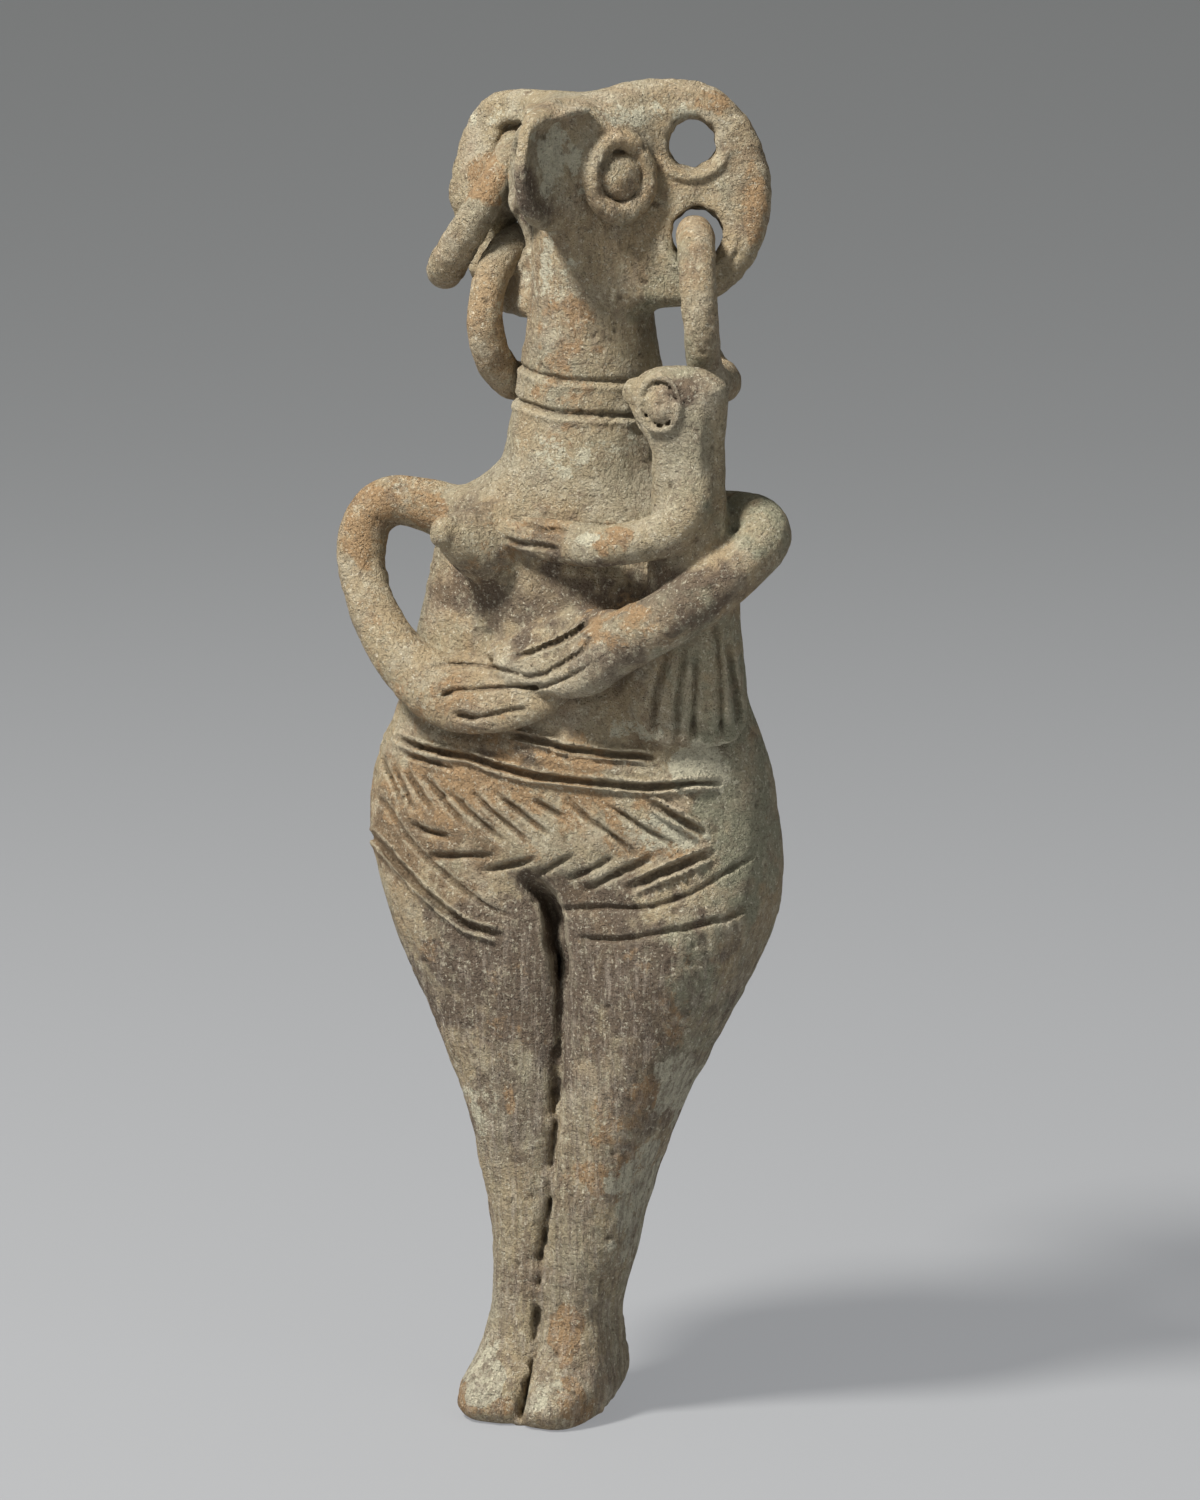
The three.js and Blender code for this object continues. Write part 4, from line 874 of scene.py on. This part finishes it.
def surface_net(grid, low, cell):
    """Vertices and quads of the zero surface of a grid."""
    inside = grid < 0
    corners = list(np.ndindex(2, 2, 2))
    steps = np.eye(3, dtype=int)
    wide, deep, high = np.array(grid.shape) - 1
    count = sum(inside[i:wide + i, j:deep + j, k:high + k].astype(np.int8) for i, j, k in corners)
    cells = np.argwhere((count > 0) & (count < 8))
    number = np.full(count.shape, -1, np.int32)
    number[tuple(cells.T)] = np.arange(len(cells))
    value = {corner: grid[tuple((cells + corner).T)] for corner in corners}
    total = np.zeros((len(cells), 3))
    hits = np.zeros(len(cells))
    for corner in corners:
        for axis in range(3):
            if corner[axis]:
                continue
            a, b = value[corner], value[tuple(steps[axis] + corner)]
            crossed = (a < 0) != (b < 0)
            place = np.tile(np.array(corner, float), (crossed.sum(), 1))
            place[:, axis] = a[crossed] / (a[crossed] - b[crossed])
            total[crossed] += place
            hits[crossed] += 1
    verts = np.array(low) + (cells + total / hits[:, None]) * cell
    quads = []
    for axis in range(3):
        here = [slice(1, -1)] * 3
        here[axis] = slice(0, -1)
        there = list(here)
        there[axis] = slice(1, None)
        a, b = inside[tuple(here)], inside[tuple(there)]
        u, v = steps[(axis + 1) % 3], steps[(axis + 2) % 3]
        for crossing, order in ((a & ~b, 1), (~a & b, -1)):
            base = np.argwhere(crossing) + 1 - steps[axis]
            ring = [number[tuple((base - shift).T)] for shift in (u + v, v, 0, u)]
            quads.append(np.stack(ring[::order], 1))
    return verts, np.vstack(quads)


def main_surface(verts, quads):
    """Leaves out crumbs and hollows that aren't joined to the largest surface."""
    label = np.arange(len(verts))
    while True:
        joined = label.copy()
        np.minimum.at(joined, quads.ravel(), np.repeat(label[quads].min(axis=1), 4))
        joined = joined[joined]
        if (joined == label).all():
            break
        label = joined
    kept = label == np.bincount(label).argmax()
    number = np.cumsum(kept) - 1
    return verts[kept], number[quads[kept[quads[:, 0]]]]


def gradient(field, points, step=0.15):
    return np.stack([(field(points + d) - field(points - d)) / (2 * step)
                     for d in (np.eye(3) * step)], 1)


def pits(points, size, share, seed):
    """Small round hollows scattered over a share of the cells, from 0 to 1."""
    p = points / size + 300
    cell = np.floor(p).astype(np.int64)
    best = np.zeros(len(points))
    for around in np.ndindex(3, 3, 3):
        c = cell + around - 1
        draws = [hashed(*c.T, seed + n) for n in range(4)]
        gap = np.linalg.norm(p - c - (np.stack(draws[1:], 1) * 0.5 + 0.5), axis=1)
        hollow = np.clip(1 - gap / 0.42, 0, 1)
        best = np.maximum(best, np.where(draws[0] > 1 - 2 * share, hollow, 0))
    return best


def worn_relief(points):
    """Height of the hand-smoothed lumps, grain, pits and brush strokes, in millimetres, and the pits."""
    legs = np.clip((86 - points[:, 2]) / 10, 0, 1)
    ears = np.clip((points[:, 2] - 172) / 6, 0, 1) * np.clip((np.abs(points[:, 0]) - 12) / 3, 0, 1)
    grain = noise_sum(points, ((0.09, 2.1, 3), (0.13, 1, 4)))
    grain *= np.clip(noise(points, 11, 7) + 0.7, 0.3, 1.5)
    streaks = 0.16 * noise(points, 1.1, 5, (1, 1, 9)) * legs + 0.12 * noise(points, 0.9, 6, (6, 6, 1)) * ears
    warp = shaken(points, points, 0.5, 1.2, (8, 9, 10))
    hollow = np.maximum(pits(warp, 1.9, 0.05, 11), 0.7 * pits(warp, 1.2, 0.07, 21))
    return noise_sum(points, ((0.24, 9, 1), (0.15, 4, 2))) + grain + streaks - PIT_DEPTH * hollow, hollow


def brushed(points):
    """Share of upright brush strokes: full on the legs, faint on the neck."""
    x, y, z = points.T
    neck = np.clip((z - 164) / 4, 0, 1) * np.clip((196 - z) / 6, 0, 1) * (np.abs(x) < 11)
    return np.maximum(np.clip((84 - z) / 12, 0, 1), 0.45 * neck)


def spot_mask(points, places, spots, seed):
    """Ragged patches from 0 to 1 about named places on the layout plane."""
    ragged = noise_sum(points, ((0.45, 3.2, seed), (0.35, 1.3, seed + 1)))
    total = np.zeros(len(points))
    for across, up, wide, high, strength in spots:
        gap = np.hypot((places[:, 0] - across) / wide, (places[:, 1] - up) / high)
        total = np.maximum(total, strength * np.clip((1.25 - gap + ragged) * 1.8, 0, 1))
    return total


def build_object(name, verts, faces, attributes, material):
    mesh = bpy.data.meshes.new(name)
    shifted = ((verts + np.array(ORIGIN_SHIFT)) * MM).astype(np.float32)
    mesh.from_pydata(shifted.tolist(), [], faces.tolist())
    for key, values in attributes.items():
        layer = mesh.attributes.new(key, "FLOAT", "POINT")
        layer.data.foreach_set("value", values.astype(np.float32))
    mesh.shade_smooth()
    mesh.materials.append(material)
    return add_object(name, mesh)


def thin_out(made, limit):
    """Reduces a dense mesh of quads to a number of triangles."""
    count = 2 * len(made.data.polygons)
    if count <= limit:
        return
    reduce = made.modifiers.new("reduce", "DECIMATE")
    reduce.ratio = limit / count
    bpy.context.view_layer.update()
    graph = bpy.context.evaluated_depsgraph_get()
    reduced = bpy.data.meshes.new_from_object(made.evaluated_get(graph), depsgraph=graph)
    made.modifiers.clear()
    made.data = reduced
    reduced.shade_smooth()


def make_skin(name, field, box, cell, limit, material):
    """Closed mesh of a field's zero surface, worn, pitted and marked with its patches."""
    verts, quads = main_surface(*surface_net(sample_band(field, box, cell), box[0], cell))
    slope = gradient(field, verts)
    steep = np.maximum((slope**2).sum(1), 0.2)
    verts = verts - slope * (np.clip(field(verts), -0.4, 0.4) / steep)[:, None]
    normal = unit(slope)
    around = sum(field(verts + d) + field(verts - d) for d in np.eye(3) * BEND_REACH)
    bend = np.clip(around / BEND_REACH**2 / 6, -2, 2)
    relief, hollow = worn_relief(verts)
    relief *= np.clip(verts[:, 2] / FLOOR_FADE, 0, 1)
    verts = verts + normal * relief[:, None]
    verts[:, 2] = np.maximum(verts[:, 2], 0)
    places = layout(verts)
    marks = {"bend": bend, "pit": hollow, "brushed": brushed(verts)}
    for index, (key, spots) in enumerate(PATCHES.items()):
        marks[key] = spot_mask(verts, places, spots, PATCH_SEED + 3 * index)
    made = build_object(name, verts, quads, marks, material)
    thin_out(made, limit)
    return made


def make_figurine(material):
    return make_skin("woman_and_infant", figurine_field, BODY_BOX, CELL, BODY_TRIANGLES, material)


def make_earring(ring, material):
    across = ring_frame(ring.azimuth, ring.tilt)
    reach = ring.radius * np.hypot(across[:, 0], across[:, 1]) + ring.roll + RING_MARGIN
    box = (ring.centre - reach, ring.centre + reach)
    return make_skin(ring.node.replace("earring", "ring"), lambda p: ring_field(p, ring), box, RING_CELL,
                     RING_TRIANGLES, material)


def connect(node, values):
    """Sets inputs of a node to values, or links them to other nodes' outputs."""
    for key, value in values.items():
        if isinstance(value, bpy.types.NodeSocket):
            node.id_data.links.new(value, node.inputs[key])
        else:
            node.inputs[key].default_value = value
    return node


def spread(tree, scale, detail, rough, stretch=(1, 1, 1)):
    """Value of a noise laid out in the piece's own space."""
    place = tree.nodes.new("ShaderNodeTexCoord").outputs["Object"]
    mapping = connect(tree.nodes.new("ShaderNodeMapping"), {"Vector": place, "Scale": stretch})
    texture = connect(tree.nodes.new("ShaderNodeTexNoise"), {
        "Vector": mapping.outputs[0], "Scale": scale, "Detail": detail, "Roughness": rough})
    return texture.outputs["Fac"]


def mark(tree, key):
    node = tree.nodes.new("ShaderNodeAttribute")
    node.attribute_name = key
    return node.outputs["Fac"]


def ramp(tree, value, low, high, reach=1.0):
    node = connect(tree.nodes.new("ShaderNodeMapRange"), {
        "Value": value, "From Min": low, "From Max": high, "To Max": reach})
    return node.outputs["Result"]


def mix(tree, colour, other, share):
    node = tree.nodes.new("ShaderNodeMix")
    node.data_type = "RGBA"
    connect(node, {"Factor": share, "A": colour, "B": (*other, 1)})
    return node.outputs["Result"]


def compute(tree, operation, *values):
    node = tree.nodes.new("ShaderNodeMath")
    node.operation = operation
    return connect(node, dict(enumerate(values))).outputs[0]


def clay_colour(tree, ground, warm, pale):
    """Clouds over the ground, then ragged patches (painted highlight among them on the crown), brush strokes,
    speckles, and painted shade and wear by the form.
    """
    colour = (*ground, 1)
    for shade, grain, *limits in ((warm, *WARM_CLOUD), *CLOUDS, (pale, *PALE_CLOUD)):
        colour = mix(tree, colour, shade, ramp(tree, spread(tree, *grain), *limits))
    for key, (shade, grain, low, high) in PATCH_LAYERS.items():
        edge = compute(tree, "MULTIPLY_ADD", spread(tree, *grain), PATCH_BREAK, mark(tree, key))
        share = ramp(tree, edge, low + PATCH_BREAK / 2, high + PATCH_BREAK / 2)
        colour = mix(tree, colour, shade, share)
    for shade, grain, *limits in BRUSH_STROKES:
        stroke = ramp(tree, spread(tree, *grain), *limits)
        colour = mix(tree, colour, shade, compute(tree, "MULTIPLY", mark(tree, "brushed"), stroke))
    for shade, grain, *limits in SPECKLES:
        colour = mix(tree, colour, shade, ramp(tree, spread(tree, *grain), *limits))
    # Painted shade, partly dirt, in pits and hollows; lighter worn edges, partly painted highlight.
    for shade, key, *limits in PAINTED_FORM_SHADE_AND_WEAR:
        colour = mix(tree, colour, shade, ramp(tree, mark(tree, key), *limits))
    return colour


def clay_bumps(tree):
    """Fine bumps, each kind laid over the one before."""
    below = {}
    for grain, depth, on_strokes in BUMPS:
        height = spread(tree, *grain)
        if on_strokes:
            height = compute(tree, "MULTIPLY", mark(tree, "brushed"), height)
        node = tree.nodes.new("ShaderNodeBump")
        connect(node, {"Height": height, "Distance": depth, **below})
        below = {"Normal": node.outputs[0]}
    return below


def new_material(name):
    material = bpy.data.materials.new(name)
    material.use_nodes = True
    return material, material.node_tree


def clay_material(name):
    material, tree = new_material(name)
    colour = clay_colour(tree, *CLAYS[name])
    connect(tree.nodes["Principled BSDF"], {
        "Base Color": colour, "Roughness": 0.85, "Specular IOR Level": 0.2, **clay_bumps(tree)})
    return material


def floor_mesh():
    """A level strip that runs back and curves up, in metres."""
    near, back, curve, top, wide, steps = -3.0, 0.75, 1.2, 3.0, 4.0, 24
    profile = [(near, 0.0), (back, 0.0)]
    profile += [(back + curve * sin(t), curve * (1 - cos(t)))
                for t in np.linspace(0, pi / 2, steps)[1:]]
    profile.append((back + curve, top))
    verts = [(x, y, z) for y, z in profile for x in (-wide, wide)]
    faces = [(2 * i, 2 * i + 1, 2 * i + 3, 2 * i + 2) for i in range(len(profile) - 1)]
    mesh = bpy.data.meshes.new("floor")
    mesh.from_pydata(verts, [], faces)
    mesh.shade_smooth()
    return mesh


def floor_material():
    """One grey close by and a darker one further back, painted shade of the light falling off, and an even
    glow in the floor's own colour, painted light that lightens the shadow cast on it.
    """
    near, far, start, end, painted_glow = (0.16, 0.163, 0.169), (0.068, 0.07, 0.07), -0.1, 1.45, 1.62
    material, tree = new_material("floor")
    place = tree.nodes.new("ShaderNodeTexCoord").outputs["Object"]
    split = connect(tree.nodes.new("ShaderNodeSeparateXYZ"), {0: place})
    depth = tree.nodes.new("ShaderNodeMapRange")
    depth.interpolation_type = "SMOOTHSTEP"
    connect(depth, {"Value": split.outputs["Y"], "From Min": start, "From Max": end})
    # Darker further back: painted shade.
    colour = mix(tree, (*near, 1), far, depth.outputs["Result"])
    # The floor glows: painted light that lightens the figure's shadow on it.
    connect(tree.nodes["Principled BSDF"], {
        "Base Color": colour, "Emission Color": colour, "Emission Strength": painted_glow, "Roughness": 0.8})
    return material


def make_floor():
    mesh = floor_mesh()
    mesh.materials.append(floor_material())
    floor = add_object("floor", mesh)
    floor.rotation_euler = (0, 0, VIEW_AZIMUTH)


def make_light(name, place, size, power, colour):
    data = bpy.data.lights.new(name, "AREA")
    data.shape = "DISK"
    data.size = size
    data.energy = power
    data.color = colour
    light = add_object(name, data)
    right, up, forward = (Vector(axis) for axis in view_axes())
    light.location = Vector(CHEST) + right * place[0] + up * place[1] - forward * place[2]
    light.rotation_euler = (Vector(CHEST) - light.location).to_track_quat("-Z", "Y").to_euler()


def make_lights():
    for name, settings in LIGHTS.items():
        make_light(name, *settings)
    world = bpy.data.worlds.new("world")
    world.use_nodes = True
    connect(world.node_tree.nodes["Background"], {"Color": (0.88, 0.9, 0.9, 1), "Strength": 0.18})
    bpy.context.scene.world = world
    bpy.context.scene.view_settings.view_transform = "Standard"


make_camera()
make_floor()
make_lights()
clay = clay_material("clay")
ring_clay = clay_material("ring_clay")
woman = make_figurine(clay)
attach(woman, "root")
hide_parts("figurine")
for settings in EARRINGS:
    ring = make_earring(settings, ring_clay)
    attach(ring, "root")
    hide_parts(settings[0])

bpy.context.view_layer.update()
